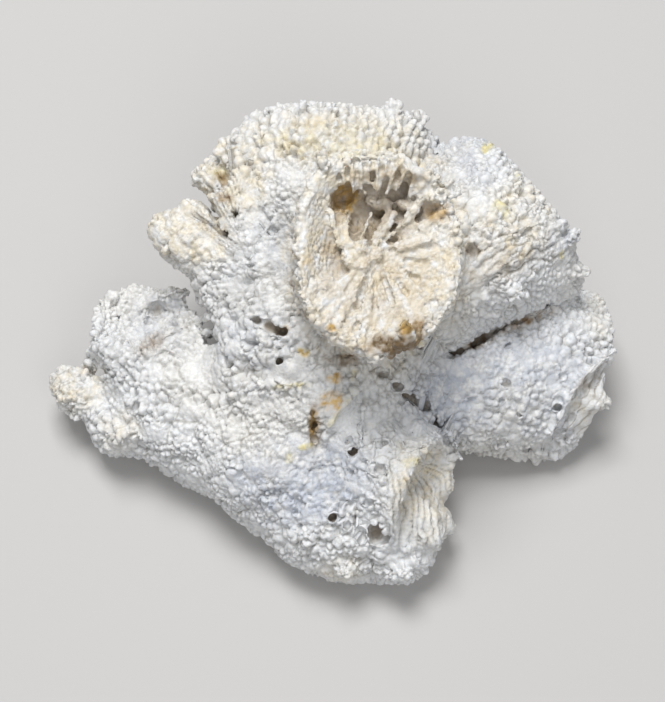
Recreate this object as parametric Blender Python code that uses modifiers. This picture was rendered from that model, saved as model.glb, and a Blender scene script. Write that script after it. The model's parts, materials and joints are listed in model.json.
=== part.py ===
"""Fossil coral head: thick flaring corallites on one short trunk, cut off flat where it grew from the rock.

The colony is grown as one body and then sawn at its forks, so that each branch is a piece of its own.
"""

import math
from typing import NamedTuple

import bmesh
import bpy
from mathutils import Matrix, Vector

MM = 0.001

# The colony is laid out in its growth frame, in millimetres: X to the right, Y up its face, Z out of its face.
FACE_LEAN = math.radians(25.0)  # how far the face leans back from level when the colony rests on its cut
FRAME_RISE = 32.0  # height of the growth frame's origin over the cut
FRAME_SHIFT = 3.4  # how far that origin lies behind the middle of the cut
KERF = 0.3  # width of the saw cut between neighbouring pieces

RING_POINTS = 36
VOXEL = 1.0  # fineness at which the branches are fused
SMOOTHING_PASSES = 8
TRIANGLES = 7000  # of the whole colony, before it is sawn
BLOCK = 400.0  # side of a saw block, larger than the colony
CREASE = math.radians(40.0)

# A cup's rings from its lip to its floor: share of the rim's size, and share of the lip's rise or the depth
CUP = ((0.97, 0.7), (0.87, 0.1), (0.74, -0.35), (0.58, -0.7), (0.38, -0.92), (0.18, -1.0))
LIP_RISE = 1.0


class Corallite(NamedTuple):
    """A branch with a cup at its end."""

    wide: tuple  # direction of its rings' half width
    rings: tuple  # from root to rim: x, y, z of the middle, half width, half thickness
    mouth: tuple  # direction that the cup faces
    depth: float  # of the cup
    waves: tuple = ()  # outline of the rim: count round it, size as a share, phase
    rise: tuple = ()  # rise and fall of the rim: count round it, height, phase
    sink: tuple = (0, 0, 0)  # where the cup's floor lies off its middle


CENTRE = Corallite(  # the large cup that faces straight out
    wide=(1, 0, 0),
    rings=(
        (4, 10, -18, 14, 14), (6, 14, -6, 14.5, 15), (7.5, 18, 5, 16, 17.5),
        (8.5, 20, 15, 17.8, 20.3), (9, 20, 23, 17.6, 20.6),
    ),
    mouth=(0.13, 0.10, 1.0),
    depth=5.5,
    waves=((2, 0.03, 2.6), (3, 0.03, 0.3), (5, 0.012, 1.0)),
    sink=(-1.5, 3.5, 0),
)
TOP = Corallite(  # its wall fans upwards, and its cup faces away
    wide=(1, 0, 0),
    rings=(
        (3, 11, -16, 15, 12), (1.5, 22, -10, 18, 15), (0.5, 31.5, -8, 21, 16),
        (0, 40.5, -11, 22, 15.5), (0, 45.5, -16, 22.6, 14),
    ),
    mouth=(0.0, 0.80, -0.6),
    depth=7.0,
    waves=((4, 0.03, 1.8), (7, 0.015, 0.3)),
)
UPPER_LEFT = Corallite(  # a small pinched cup
    wide=(0.72, 0.69, -0.1),
    rings=((-7, 13, -10, 13, 12), (-14, 22, -8, 11.5, 11), (-20, 31, -7, 9.8, 9.5), (-25.5, 38.3, -6, 9.2, 9)),
    mouth=(-0.74, 0.50, 0.45),
    depth=6.0,
    waves=((3, 0.04, 0.5),),
    rise=((2, 1.2, 0.0),),
)
RIGHT = Corallite(  # the broadest fan
    wide=(-0.70, 0.71, 0),
    rings=(
        (10.5, 11, -12, 15, 13), (21, 18.5, -7, 17.5, 15), (30, 24, -9, 20, 16),
        (37, 28, -13, 21.5, 15), (40.5, 30.3, -17, 22.2, 13.5),
    ),
    mouth=(0.71, 0.56, -0.44),
    depth=7.0,
    waves=((3, 0.03, 2.4), (5, 0.02, 2.0), (2, 0.03, 3.14)),
)
LOWER_RIGHT = Corallite(
    wide=(0.2, 0.97, 0),
    rings=(
        (11.5, -4, -16, 14, 11), (23.5, -5.5, -16, 15.5, 12), (37, -6.5, -18, 17, 12.5),
        (48.5, -6, -21, 18.6, 12), (56, -5.2, -24, 18.8, 10.5),
    ),
    mouth=(0.88, -0.22, -0.42),
    depth=6.0,
    waves=((3, 0.03, 2.2), (5, 0.02, 0.5)),
)
LOWER = Corallite(  # a small cup that looks down and to the right
    wide=(0.3, 0.95, 0),
    rings=((1.5, -17, -10, 13, 12), (9, -24, -6, 12.5, 12), (15, -28, -3, 12.5, 11.5), (20, -30.2, -1, 13.5, 11)),
    mouth=(0.80, -0.36, 0.48),
    depth=4.0,
    waves=((2, 0.05, 0.0), (3, 0.03, 0.6)),
    sink=(0, 4, 0),
)
LEFT = Corallite(  # a hooded cup
    wide=(1, 0.1, 0),
    rings=((-18, -15, -14, 14, 13), (-31.5, -8.5, -17, 15, 12), (-39, 0, -16, 13, 10.5), (-42, 7.2, -13, 11.6, 9.8)),
    mouth=(0.0, 0.55, 0.83),
    depth=4.0,
    waves=((3, 0.05, 0.4),),
)

# Rounded swellings: middle, half lengths, turn in degrees about the face's normal
TAB = (  # below the upper left cup
    ((-29, 23, -7), (11.5, 6.4, 5.5), 154),
    ((-21.5, 19, -8), (10, 8, 8), 140),
)
BUD = (  # the knobbly bud at the far left
    ((-55.5, -10, -20), (7.5, 5.6, 5.5), -22),
    ((-59.2, -7, -20), (3.8, 3.8, 3.8), 0),
    ((-49, -12.6, -20), (7.8, 6.3, 6.2), -30),
    ((-46, -17.3, -18), (7.5, 6, 7), 0),
    ((-49.2, -1.5, -18), (3.4, 5.2, 3.6), -25),
)
TRUNK = (
    ((-0.5, -6.5, -12), (28, 22, 18), 0),
    ((-27.5, -18, -16), (23, 13, 12), -26),
    ((-10.5, -24, -11), (25, 16.5, 14), -36),
    ((1.5, -35, -10), (19, 14.5, 14), -20),
    ((13.5, -41, -9), (9.5, 9.5, 9.5), 0),
    ((-7, 3.5, -7), (18, 18, 14), 0),
    ((-19.5, 11, -10), (9, 16, 10), 30),
)
FOOT = (  # the stub that stood on the rock: rings of a column, as in a corallite
    (0, -8, -12, 20, 19), (0, -13.5, -22.5, 19, 18), (0, -19, -33, 20, 19),
)
FOOT_WAVES = ((3, 0.06, 0.4), (5, 0.03, 1.0))

# The saw cuts, in the order they are made: a piece, and the planes (point, direction) that bound it
CENTRE_CUT = (((8, 18, 11), (0, 0, 1)),)
LOWER_CUT = (((11, -31.6, 0), (0.993, -0.117, 0)), ((14.3, -17.2, 0), (0, -1, 0)), ((27.4, -20, 0), (-1, 0, 0)))
RIGHT_HALF_CUT = (((23.3, 33, 0), (0.998, 0.056, 0)),)
RIGHT_CUT = (((53, 11, -17), (-0.36, 0.90, 0.25)),)
LEFT_HALF_CUT = (((-23.4, -10.4, 0), (-1, 0, 0)), ((-29, 10.8, 0), (-0.75, -0.66, 0)))
BUD_CUT = (((-45.5, -9.3, 0), (-0.88, -0.47, 0)),)
UPPER_LEFT_CUT = (((-18.5, 21.4, -8), (-0.80, 0.55, 0.1)), ((-19, 34, 0), (-0.95, -0.31, 0)))
TOP_CUT = (((0, 29, 0), (0, 0.95, -0.3)),)

# Colour of each piece's material, and its roughness
CREAM = (0.62, 0.52, 0.38, 1.0)
PALE_CREAM = (0.66, 0.62, 0.54, 1.0)
BLUE_WHITE = (0.60, 0.62, 0.65, 1.0)
GREY_WHITE = (0.52, 0.53, 0.55, 1.0)
COLOURS = {
    "trunk": GREY_WHITE,
    "centre_corallite": CREAM,
    "top_corallite": PALE_CREAM,
    "upper_left_corallite": PALE_CREAM,
    "right_corallite": PALE_CREAM,
    "lower_right_corallite": BLUE_WHITE,
    "lower_corallite": CREAM,
    "left_corallite": BLUE_WHITE,
    "left_bud": PALE_CREAM,
}
ROUGHNESS = 0.75


def growth_frame():
    """Growth frame in millimetres to the world in metres, resting on the cut."""
    lay = Matrix.Translation((0, FRAME_SHIFT * MM, FRAME_RISE * MM)) @ Matrix.Rotation(FACE_LEAN, 4, "X")
    return lay @ Matrix.Scale(MM, 4)


def wave(terms, angle):
    return sum(size * math.cos(count * angle + phase) for count, size, phase in terms)


def faded(terms, share):
    return [(count, size * share, phase) for count, size, phase in terms]


def ring(bm, middle, normal, wide, half_width, half_thickness, waves, rise=()):
    """One closed ring of a loft, in the plane through its middle with that normal."""
    normal = normal.normalized()
    width_axis = Vector(wide)
    width_axis = (width_axis - width_axis.dot(normal) * normal).normalized()
    thickness_axis = normal.cross(width_axis)
    verts = []
    for i in range(RING_POINTS):
        angle = 2 * math.pi * i / RING_POINTS
        round_it = width_axis * half_width * math.cos(angle) + thickness_axis * half_thickness * math.sin(angle)
        place = middle + round_it * (1 + wave(waves, angle)) + normal * wave(rise, angle)
        verts.append(bm.verts.new(place))
    return verts


def skin(bm, rings):
    """Faces between neighbouring rings, and a cap on each end."""
    for low, high in zip(rings, rings[1:]):
        for i in range(RING_POINTS):
            j = (i + 1) % RING_POINTS
            bm.faces.new((low[i], low[j], high[j], high[i]))
    bm.faces.new(reversed(rings[0]))
    bm.faces.new(rings[-1])


def add_corallite(bm, shape):
    """A branch lofted through its rings, turning towards its mouth, and closed by its cup."""
    mouth = Vector(shape.mouth).normalized()
    middles = [Vector(values[:3]) for values in shape.rings]
    last = len(middles) - 1
    rings = []
    for k, (x, y, z, half_width, half_thickness) in enumerate(shape.rings):
        along = (middles[min(k + 1, last)] - middles[max(k - 1, 0)]).normalized()
        share = (k / last) ** 2
        normal = along * (1 - share) + mouth * share
        waves = faded(shape.waves, share)
        rise = faded(shape.rise, share)
        rings.append(ring(bm, middles[k], normal, shape.wide, half_width, half_thickness, waves, rise))
    half_width, half_thickness = shape.rings[-1][3:]
    for size, level in CUP:
        lift = level * LIP_RISE if level > 0 else level * shape.depth
        middle = middles[-1] + mouth * lift + Vector(shape.sink) * (1 - size)
        sizes = (half_width * size, half_thickness * size)
        rings.append(ring(bm, middle, mouth, shape.wide, *sizes, shape.waves, faded(shape.rise, size)))
    skin(bm, rings)


def add_swelling(bm, middle, half_lengths, turn):
    shape = Matrix.Translation(middle) @ Matrix.Rotation(math.radians(turn), 4, "Z")
    shape = shape @ Matrix.Diagonal((*half_lengths, 1))
    bmesh.ops.create_uvsphere(bm, u_segments=24, v_segments=14, radius=1.0, matrix=shape)


def add_foot(bm):
    middles = [Vector(values[:3]) for values in FOOT]
    axis = middles[-1] - middles[0]
    rings = []
    for middle, values in zip(middles, FOOT):
        rings.append(ring(bm, middle, axis, (1, 0, 0), *values[3:], FOOT_WAVES))
    skin(bm, rings)


def new_object(name, mesh, collection):
    obj = bpy.data.objects.new(name, mesh)
    collection.objects.link(obj)
    return obj


def mesh_from(bm, name):
    """A mesh in the world, from one laid out in the growth frame."""
    bmesh.ops.recalc_face_normals(bm, faces=bm.faces)
    mesh = bpy.data.meshes.new(name)
    bm.to_mesh(mesh)
    bm.free()
    mesh.transform(growth_frame())
    return mesh


def evaluated_mesh(obj):
    obj_now = obj.evaluated_get(bpy.context.evaluated_depsgraph_get())
    return bpy.data.meshes.new_from_object(obj_now)


def grown_colony():
    """All branches and swellings fused into one closed skin."""
    bm = bmesh.new()
    for shape in (CENTRE, TOP, UPPER_LEFT, RIGHT, LOWER_RIGHT, LOWER, LEFT):
        add_corallite(bm, shape)
    for middle, half_lengths, turn in TAB + BUD + TRUNK:
        add_swelling(bm, middle, half_lengths, turn)
    add_foot(bm)
    colony = new_object("colony", mesh_from(bm, "colony"), bpy.context.scene.collection)
    fuse = colony.modifiers.new("fuse", "REMESH")
    fuse.mode = "VOXEL"
    fuse.voxel_size = VOXEL * MM
    soften = colony.modifiers.new("soften", "SMOOTH")
    soften.iterations = SMOOTHING_PASSES
    thin = colony.modifiers.new("thin", "DECIMATE")
    thin.ratio = TRIANGLES / (2 * len(evaluated_mesh(colony).polygons))
    grown = evaluated_mesh(colony)
    bpy.data.objects.remove(colony)
    return grown


def saw_block(name, planes, back, cutters):
    """A large block bounded by the planes, each moved back by that much."""
    bm = bmesh.new()
    bmesh.ops.create_cube(bm, size=BLOCK)
    for point, direction in planes:
        direction = Vector(direction).normalized()
        whole = bm.verts[:] + bm.edges[:] + bm.faces[:]
        place = Vector(point) - direction * back
        cut = bmesh.ops.bisect_plane(bm, geom=whole, plane_co=place, plane_no=direction, clear_inner=True)
        rim = [part for part in cut["geom_cut"] if isinstance(part, bmesh.types.BMEdge)]
        bmesh.ops.contextual_create(bm, geom=rim)
    saw = new_object("saw_" + name, mesh_from(bm, "saw_" + name), cutters)
    saw.hide_render = True
    saw.display_type = "WIRE"
    return saw


def carved(mesh, saw, operation):
    """The mesh inside the saw block (INTERSECT) or outside it (DIFFERENCE)."""
    piece = new_object("piece", mesh, bpy.context.scene.collection)
    cut = piece.modifiers.new("cut", "BOOLEAN")
    cut.operation = operation
    cut.object = saw
    made = evaluated_mesh(piece)
    bpy.data.objects.remove(piece)
    return made


def sawn(name, mesh, planes, cutters):
    """The piece inside the planes, and the rest, with the width of the saw cut between them."""
    piece = carved(mesh, saw_block(name, planes, 0.0, cutters), "INTERSECT")
    rest = carved(mesh, saw_block(name + "_kerf", planes, KERF, cutters), "DIFFERENCE")
    return piece, rest


def colony_pieces(cutters):
    """Every piece's mesh by its name: the colony cut off level at its foot and sawn at its forks."""
    up = Vector((0, math.sin(FACE_LEAN), math.cos(FACE_LEAN)))
    ground = -FRAME_RISE / math.cos(FACE_LEAN)
    rest = carved(grown_colony(), saw_block("ground", (((0, 0, ground), -up),), 0.0, cutters), "DIFFERENCE")
    pieces = {}
    pieces["centre_corallite"], rest = sawn("centre", rest, CENTRE_CUT, cutters)
    pieces["lower_corallite"], rest = sawn("lower", rest, LOWER_CUT, cutters)
    right_half, rest = sawn("right_half", rest, RIGHT_HALF_CUT, cutters)
    pieces["right_corallite"], pieces["lower_right_corallite"] = sawn("right", right_half, RIGHT_CUT, cutters)
    left_half, rest = sawn("left_half", rest, LEFT_HALF_CUT, cutters)
    pieces["left_bud"], pieces["left_corallite"] = sawn("bud", left_half, BUD_CUT, cutters)
    pieces["upper_left_corallite"], rest = sawn("upper_left", rest, UPPER_LEFT_CUT, cutters)
    pieces["top_corallite"], rest = sawn("top", rest, TOP_CUT, cutters)
    pieces["trunk"] = rest
    return pieces


def stone_material(name, colour):
    material = bpy.data.materials.new(name)
    material.use_nodes = True
    shader = material.node_tree.nodes["Principled BSDF"]
    shader.inputs["Base Color"].default_value = colour
    shader.inputs["Roughness"].default_value = ROUGHNESS
    shader.inputs["Metallic"].default_value = 0.0
    return material


def main():
    for obj in list(bpy.data.objects):
        bpy.data.objects.remove(obj)
    parts = bpy.data.collections.new("fossil_coral_head")
    cutters = bpy.data.collections.new("saw_blocks")
    for collection in (parts, cutters):
        bpy.context.scene.collection.children.link(collection)
    for name, mesh in colony_pieces(cutters).items():
        obj = new_object(name, mesh, parts)
        mesh.materials.clear()
        mesh.materials.append(stone_material(name + "_stone", COLOURS[name]))
        mesh.shade_smooth()
        mesh.set_sharp_from_angle(angle=CREASE)


main()
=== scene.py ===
"""Agatised coral head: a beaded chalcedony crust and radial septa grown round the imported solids."""

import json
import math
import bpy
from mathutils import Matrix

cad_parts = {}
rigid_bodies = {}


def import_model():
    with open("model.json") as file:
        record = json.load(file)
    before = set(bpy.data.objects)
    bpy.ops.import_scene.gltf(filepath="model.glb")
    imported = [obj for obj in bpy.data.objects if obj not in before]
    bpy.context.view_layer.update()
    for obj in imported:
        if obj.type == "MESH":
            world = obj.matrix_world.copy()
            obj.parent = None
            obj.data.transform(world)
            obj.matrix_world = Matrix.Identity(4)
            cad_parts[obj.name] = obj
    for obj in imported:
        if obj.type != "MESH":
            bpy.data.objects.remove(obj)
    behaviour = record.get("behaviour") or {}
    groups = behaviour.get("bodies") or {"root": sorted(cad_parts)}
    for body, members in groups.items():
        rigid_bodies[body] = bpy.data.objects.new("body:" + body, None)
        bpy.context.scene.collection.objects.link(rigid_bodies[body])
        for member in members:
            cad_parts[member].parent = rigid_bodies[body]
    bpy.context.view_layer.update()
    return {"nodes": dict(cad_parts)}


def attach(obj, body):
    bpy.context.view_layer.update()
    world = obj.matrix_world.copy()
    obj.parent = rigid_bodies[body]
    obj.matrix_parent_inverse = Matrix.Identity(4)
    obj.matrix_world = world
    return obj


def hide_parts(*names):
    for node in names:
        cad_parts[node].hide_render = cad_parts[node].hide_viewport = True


bl_info = {
    "name": "Fossil coral head",
    "version": (1, 0, 0),
    "blender": (4, 5, 0),
    "location": "View3D > Sidebar > Coral",
    "description": "Grows the crust, the septa and the stage of an agatised coral head round its solids",
    "category": "Add Mesh",
}

from typing import NamedTuple

import bpy
import numpy as np
from bpy.props import FloatProperty, FloatVectorProperty, IntProperty, PointerProperty
from mathutils import Matrix, Vector
from mathutils.bvhtree import BVHTree
from mathutils.kdtree import KDTree

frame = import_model()

MM = 0.001

# Growth frame, in millimetres: X to the right, Y up the coral's face, Z out of its face
FACE_LEAN = math.radians(25.0)
FRAME_RISE = 32.0
FRAME_SHIFT = 3.4
EYE = np.array([0.0, 0.0, 420.0])  # the viewer
GROWTH = Matrix.Translation((0, FRAME_SHIFT * MM, FRAME_RISE * MM)) @ Matrix.Rotation(FACE_LEAN, 4, "X")
GROWTH_MM = GROWTH @ Matrix.Scale(MM, 4)

# Places on the face are given as the viewer sees them: steps across and down from the upper left corner
STEP = 0.212  # millimetres on the growth frame's Z = 0 plane
VIEW_MIDDLE = (332.5, 351.0)


# ---------------------------------------------------------------- numbers and fields

def unit(v):
    return v / np.linalg.norm(v, axis=-1, keepdims=True)


def mix(a, b, share):
    return a + (b - a) * share


def smoothstep(low, high, x):
    t = np.clip((x - low) / (high - low), 0.0, 1.0)
    return t * t * (3 - 2 * t)


def swell(points, size, seed):
    """Smooth noise about 0, mostly from -1 to 1, with features of that size, as a sum of turned waves."""
    rng = np.random.default_rng(seed)
    total = np.zeros(len(points))
    waves = 14
    for _ in range(waves):
        direction = unit(rng.normal(size=3))
        rate = 2 * math.pi / (size * rng.uniform(1.2, 2.8))
        total += np.sin(points @ direction * rate + rng.uniform(0, 2 * math.pi))
    return total / math.sqrt(waves / 2)


def sight(x, y):
    """Direction from the eye through the view place (x, y)."""
    spot = np.array([(x - VIEW_MIDDLE[0]) * STEP, (VIEW_MIDDLE[1] - y) * STEP, 0.0])
    return unit(spot - EYE)


def view_of(points):
    """View places of points, in steps."""
    near = EYE[2] / (EYE[2] - points[:, 2])
    x = points[:, 0] * near / STEP + VIEW_MIDDLE[0]
    y = VIEW_MIDDLE[1] - points[:, 1] * near / STEP
    return np.stack([x, y], axis=1)


def world_height(points):
    """Height over the floor of growth frame points, in millimetres."""
    return FRAME_RISE + points[:, 1] * math.sin(FACE_LEAN) + points[:, 2] * math.cos(FACE_LEAN)


class Cup:
    """A corallite's rim and axes in the growth frame."""

    def __init__(self, node, middle, mouth, wide, half_width, half_thickness):
        self.node = node
        self.middle = np.array(middle, float)
        self.mouth = unit(np.array(mouth, float))
        wide = np.array(wide, float)
        self.wide = unit(wide - wide.dot(self.mouth) * self.mouth)
        self.thick = np.cross(self.mouth, self.wide)
        self.half_width = half_width
        self.half_thickness = half_thickness
        turns = np.linspace(-math.pi, math.pi, 361)
        steps = np.hypot(half_width * np.sin(turns), half_thickness * np.cos(turns))
        length = np.concatenate([[0], np.cumsum((steps[1:] + steps[:-1]) / 2)])
        self.turns = turns
        self.lengths = length / length[-1]
        self.girth = length[-1] * (turns[1] - turns[0])

    def local(self, points):
        """(share of the rim's radius, angle round the mouth, height over the rim) of points."""
        off = points - self.middle
        across = off @ self.wide / self.half_width
        along = off @ self.thick / self.half_thickness
        return np.hypot(across, along), np.arctan2(along, across), off @ self.mouth

    def place(self, radius, angle, height):
        """Points at those local coordinates."""
        across = (radius * np.cos(angle) * self.half_width)[..., None] * self.wide
        along = (radius * np.sin(angle) * self.half_thickness)[..., None] * self.thick
        return self.middle + across + along + height[..., None] * self.mouth

    def round_share(self, angle):
        """Share of the rim's girth up to an angle."""
        return np.interp(angle, self.turns, self.lengths)

    def turn_at(self, share):
        """Angle at a share of the rim's girth."""
        return float(np.interp(share % 1.0, self.lengths, self.turns))

    def seen(self, x, y, height):
        """The place seen at view (x, y) on the plane that height over the rim."""
        ray = sight(x, y)
        reach = (height + (self.middle - EYE) @ self.mouth) / (ray @ self.mouth)
        return EYE + ray * reach


CENTRE = Cup("centre_corallite", (9, 20, 23), (0.13, 0.10, 1.0), (1, 0, 0), 17.6, 20.6)
TOP = Cup("top_corallite", (0, 45.5, -16), (0, 0.8, -0.6), (1, 0, 0), 22.6, 14)
RIGHT = Cup("right_corallite", (40.5, 30.3, -17), (0.71, 0.56, -0.44), (-0.7, 0.71, 0), 22.2, 13.5)
LOWER_RIGHT = Cup("lower_right_corallite", (56, -5.2, -24), (0.88, -0.22, -0.42), (0.2, 0.97, 0), 18.8, 10.5)
LEFT = Cup("left_corallite", (-42, 7.2, -13), (0, 0.55, 0.83), (1, 0.1, 0), 11.6, 9.8)


# ---------------------------------------------------------------- meshes

def only(*objects):
    """These objects selected and nothing else, the last one active."""
    bpy.ops.object.select_all(action="DESELECT")
    for obj in objects:
        obj.select_set(True)
    bpy.context.view_layer.objects.active = objects[-1]


def joined(objects, name):
    only(*objects)
    bpy.ops.object.join()
    obj = bpy.context.view_layer.objects.active
    obj.name = name
    return obj


def applied(obj):
    """All modifiers applied."""
    only(obj)
    for modifier in list(obj.modifiers):
        bpy.ops.object.modifier_apply(modifier=modifier.name)
    return obj


def copied(obj, name):
    twin = bpy.data.objects.new(name, obj.data.copy())
    bpy.context.scene.collection.objects.link(twin)
    return twin


def points_of(obj):
    values = np.empty(3 * len(obj.data.vertices), np.float32)
    obj.data.vertices.foreach_get("co", values)
    return values.reshape(-1, 3).astype(np.float64)


def normals_of(obj):
    values = np.empty(3 * len(obj.data.vertices), np.float32)
    obj.data.vertex_normals.foreach_get("vector", values)
    return values.reshape(-1, 3).astype(np.float64)


def move_points(obj, points):
    obj.data.vertices.foreach_set("co", points.astype(np.float32).ravel())
    obj.data.update()


def voxelled(obj, size):
    modifier = obj.modifiers.new("fuse", "REMESH")
    modifier.mode = "VOXEL"
    modifier.voxel_size = size
    return applied(obj)


def softened(obj, passes, factor=0.5):
    modifier = obj.modifiers.new("soften", "SMOOTH")
    modifier.iterations = passes
    modifier.factor = factor
    return applied(obj)


def carved(obj, cutter):
    modifier = obj.modifiers.new("carve", "BOOLEAN")
    modifier.operation = "DIFFERENCE"
    modifier.solver = "MANIFOLD"
    modifier.object = cutter
    applied(obj)
    bpy.data.objects.remove(cutter)
    return obj


def ball(middle, radii, turn=Matrix.Identity(4), detail=2):
    """An ellipsoid."""
    bpy.ops.object.select_all(action="DESELECT")
    bpy.ops.mesh.primitive_ico_sphere_add(subdivisions=detail, radius=1.0)
    obj = bpy.context.object
    obj.data.transform(Matrix.Translation(middle) @ turn @ Matrix.Diagonal((*radii, 1)))
    return obj


def rod(points, radii, rng, rough=0.12):
    """A rounded, slightly uneven rod's (points, radii), from a few of them."""
    points = np.array(points, float)
    radii = np.array(radii, float)
    lengths = np.concatenate([[0], np.cumsum(np.linalg.norm(np.diff(points, axis=0), axis=1))])
    count = max(3, int(lengths[-1] / 0.35))
    at = np.linspace(0, lengths[-1], count)
    line = np.stack([np.interp(at, lengths, points[:, k]) for k in range(3)], axis=1)
    for _ in range(3):
        line[1:-1] = (line[:-2] + 2 * line[1:-1] + line[2:]) / 4
    thick = np.interp(at / lengths[-1], np.linspace(0, 1, len(radii)), radii)
    phase = rng.uniform(0, 6.28, 3)
    thick = thick * (1 + rough * (np.sin(at * 3.1 + phase[0]) + 0.7 * np.sin(at * 5.3 + phase[1])))
    line = line + rough * np.stack([np.sin(at * 1.7 + p) for p in phase], axis=1) * thick[:, None]
    start = unit(line[0] - line[1])
    end = unit(line[-1] - line[-2])
    caps = [(0.95, 0.3), (0.7, 0.72), (0.4, 0.92)]
    head = [line[0] + start * thick[0] * out for out, _ in caps]
    tail = [line[-1] + end * thick[-1] * out for out, _ in reversed(caps)]
    head_radii = [thick[0] * share for _, share in caps]
    tail_radii = [thick[-1] * share for _, share in reversed(caps)]
    return np.vstack([head, line, tail]), np.concatenate([head_radii, thick, tail_radii])


def tubes(rods, name):
    """One mesh of round rods, each (points, radii)."""
    curve = bpy.data.curves.new(name, "CURVE")
    curve.dimensions = "3D"
    curve.bevel_depth = 1.0
    curve.bevel_resolution = 2
    curve.use_fill_caps = True
    for points, radii in rods:
        spline = curve.splines.new("POLY")
        spline.points.add(len(points) - 1)
        for spot, place, radius in zip(spline.points, points, radii):
            spot.co = (*place, 1.0)
            spot.radius = radius
    obj = bpy.data.objects.new(name, curve)
    bpy.context.scene.collection.objects.link(obj)
    only(obj)
    bpy.ops.object.convert(target="MESH")
    return bpy.context.view_layer.objects.active


def apart(views, x, y, reach_x, reach_y, turn=0.0):
    """How far each view place lies from (x, y), over the reach of a turned ellipse."""
    off = views - (x, y)
    c, s = math.cos(math.radians(turn)), math.sin(math.radians(turn))
    return np.hypot((off[:, 0] * c - off[:, 1] * s) / reach_x, (off[:, 0] * s + off[:, 1] * c) / reach_y)


class Face:
    """Finds places on a skin by where the viewer sees them."""

    def __init__(self, obj):
        self.tree = BVHTree.FromObject(obj, bpy.context.evaluated_depsgraph_get())

    def seen(self, x, y, sink=0.0):
        """The place seen at view (x, y), sunk that far behind the skin."""
        ray = sight(x, y)
        place, _, _, _ = self.tree.ray_cast(Vector(EYE), Vector(ray))
        if place is None:
            # just past the outline: where the sight passes nearest to the skin
            tries = [EYE + ray * reach for reach in np.arange(360.0, 470.0, 1.0)]
            gaps = [self.tree.find_nearest(Vector(spot))[3] for spot in tries]
            return tries[int(np.argmin(gaps))]
        return np.array(place) + ray * sink

    def mask(self, points, views, x, y, reach_x, reach_y, turn=0.0, sharp=0.5):
        """Soft ellipse on the skin about view (x, y): 1 inside, 0 outside."""
        place = self.seen(x, y)
        far = apart(views, x, y, reach_x, reach_y, turn)
        depth = np.abs((points - place) @ sight(x, y)) / (max(reach_x, reach_y) * STEP * 1.5 + 2.0)
        return (1 - smoothstep(1 - sharp, 1 + sharp, far)) * (1 - smoothstep(0.8, 1.3, depth))


def laid(face, line):
    """Places on the skin along a line of view places, each with radius and sink."""
    places = []
    for (x0, y0, _, s0), (x1, y1, _, s1) in zip(line[:-1], line[1:]):
        steps = max(2, int(math.hypot(x1 - x0, y1 - y0) / 3))
        for k in range(steps):
            t = k / steps
            places.append(face.seen(mix(x0, x1, t), mix(y0, y1, t), mix(s0, s1, t)))
    x, y, _, sink = line[-1]
    places.append(face.seen(x, y, sink))
    return places


# ---------------------------------------------------------------- the cups

def bowl(cup, floor, edge):
    """A cutter for a cup: its floor and its reach are functions of the place in the rim."""
    bpy.ops.object.select_all(action="DESELECT")
    bpy.ops.mesh.primitive_uv_sphere_add(segments=96, ring_count=48, radius=1.0)
    obj = bpy.context.object
    points = points_of(obj)
    angle = np.arctan2(points[:, 1], points[:, 0])
    share = np.hypot(points[:, 0], points[:, 1])
    lower = points[:, 2] < 0
    height = np.where(lower, floor(share, angle) * np.minimum(1.0, -points[:, 2] * 3), 6.0 * points[:, 2])
    move_points(obj, cup.place(share * edge(angle) * np.where(lower, 1.0, 1.06), angle, height))
    return obj


def pit(place, x, y, reach_x, reach_y, depth, turn=0.0):
    """An ellipsoid cutter whose long axis follows the sight."""
    ray = Vector(sight(x, y))
    spin = ray.to_track_quat("-Z", "Y").to_matrix().to_4x4() @ Matrix.Rotation(math.radians(turn), 4, "Z")
    return ball(place, (reach_x * STEP, reach_y * STEP, depth), spin)


def plate_blank():
    """A flat closed plate, a unit long and high, one thick: the start of every septum."""
    bpy.ops.object.select_all(action="DESELECT")
    bpy.ops.mesh.primitive_grid_add(x_subdivisions=16, y_subdivisions=9, size=1.0)
    blank = bpy.context.object
    blank.name = "plate_blank"
    thicken = blank.modifiers.new("thicken", "SOLIDIFY")
    thicken.thickness = 1.0
    thicken.offset = 0.0
    return applied(blank)


def plate(blank, cup, angle, inner, outer, top, bottom, thickness, rng, sway=0.3):
    """A septum from share inner to outer of the rim; top, bottom and thickness are functions of it."""
    obj = copied(blank, "plate")
    points = points_of(obj)
    along = points[:, 0] + 0.5
    up = points[:, 1] + 0.5
    radius = mix(inner, outer, along)
    low = bottom(radius)
    high = np.maximum(top(radius), low + 0.3)
    phase = rng.uniform(0, 2 * math.pi, 3)
    wave = np.sin(radius * 9 + phase[0]) * 0.6 + np.sin(radius * 17 + phase[1]) * 0.4
    lean = np.sin(up * 2.5 + phase[2]) * 0.4
    taper = thickness(radius) * (1 - 0.35 * up ** 3)
    turned = np.full(len(radius), angle)
    sideways = unit(cup.place(radius, turned + math.pi / 2, np.zeros(len(radius))) - cup.middle)
    shift = points[:, 2] * taper + (wave + lean) * sway * np.minimum(1, radius * 2)
    move_points(obj, cup.place(radius, turned, mix(low, high, up)) + shift[:, None] * sideways)
    return obj


# The centre cup: septa nearly flush below, hanging septa over pockets above, a thick left wall
LEFT_WALL = math.radians(152)
TEETH_FROM, TEETH_TO = math.radians(28), math.radians(-158)


def centre_edge(angle):
    wall = np.exp(-((np.angle(np.exp(1j * (angle - LEFT_WALL)))) / 0.55) ** 2)
    return 0.93 - 0.38 * wall


def centre_fill(angle):
    """How far sugary quartz fills the grooves between the septa: most on the lower right."""
    return np.exp(-((np.angle(np.exp(1j * (angle + 0.25)))) / 0.75) ** 2)


def centre_slope(share):
    return -(0.1 + 3.1 * (1 - np.minimum(share, 1.0) ** 1.5))


def centre_floor(share, angle):
    return centre_slope(share) - mix(0.35, -0.2, centre_fill(angle))


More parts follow.
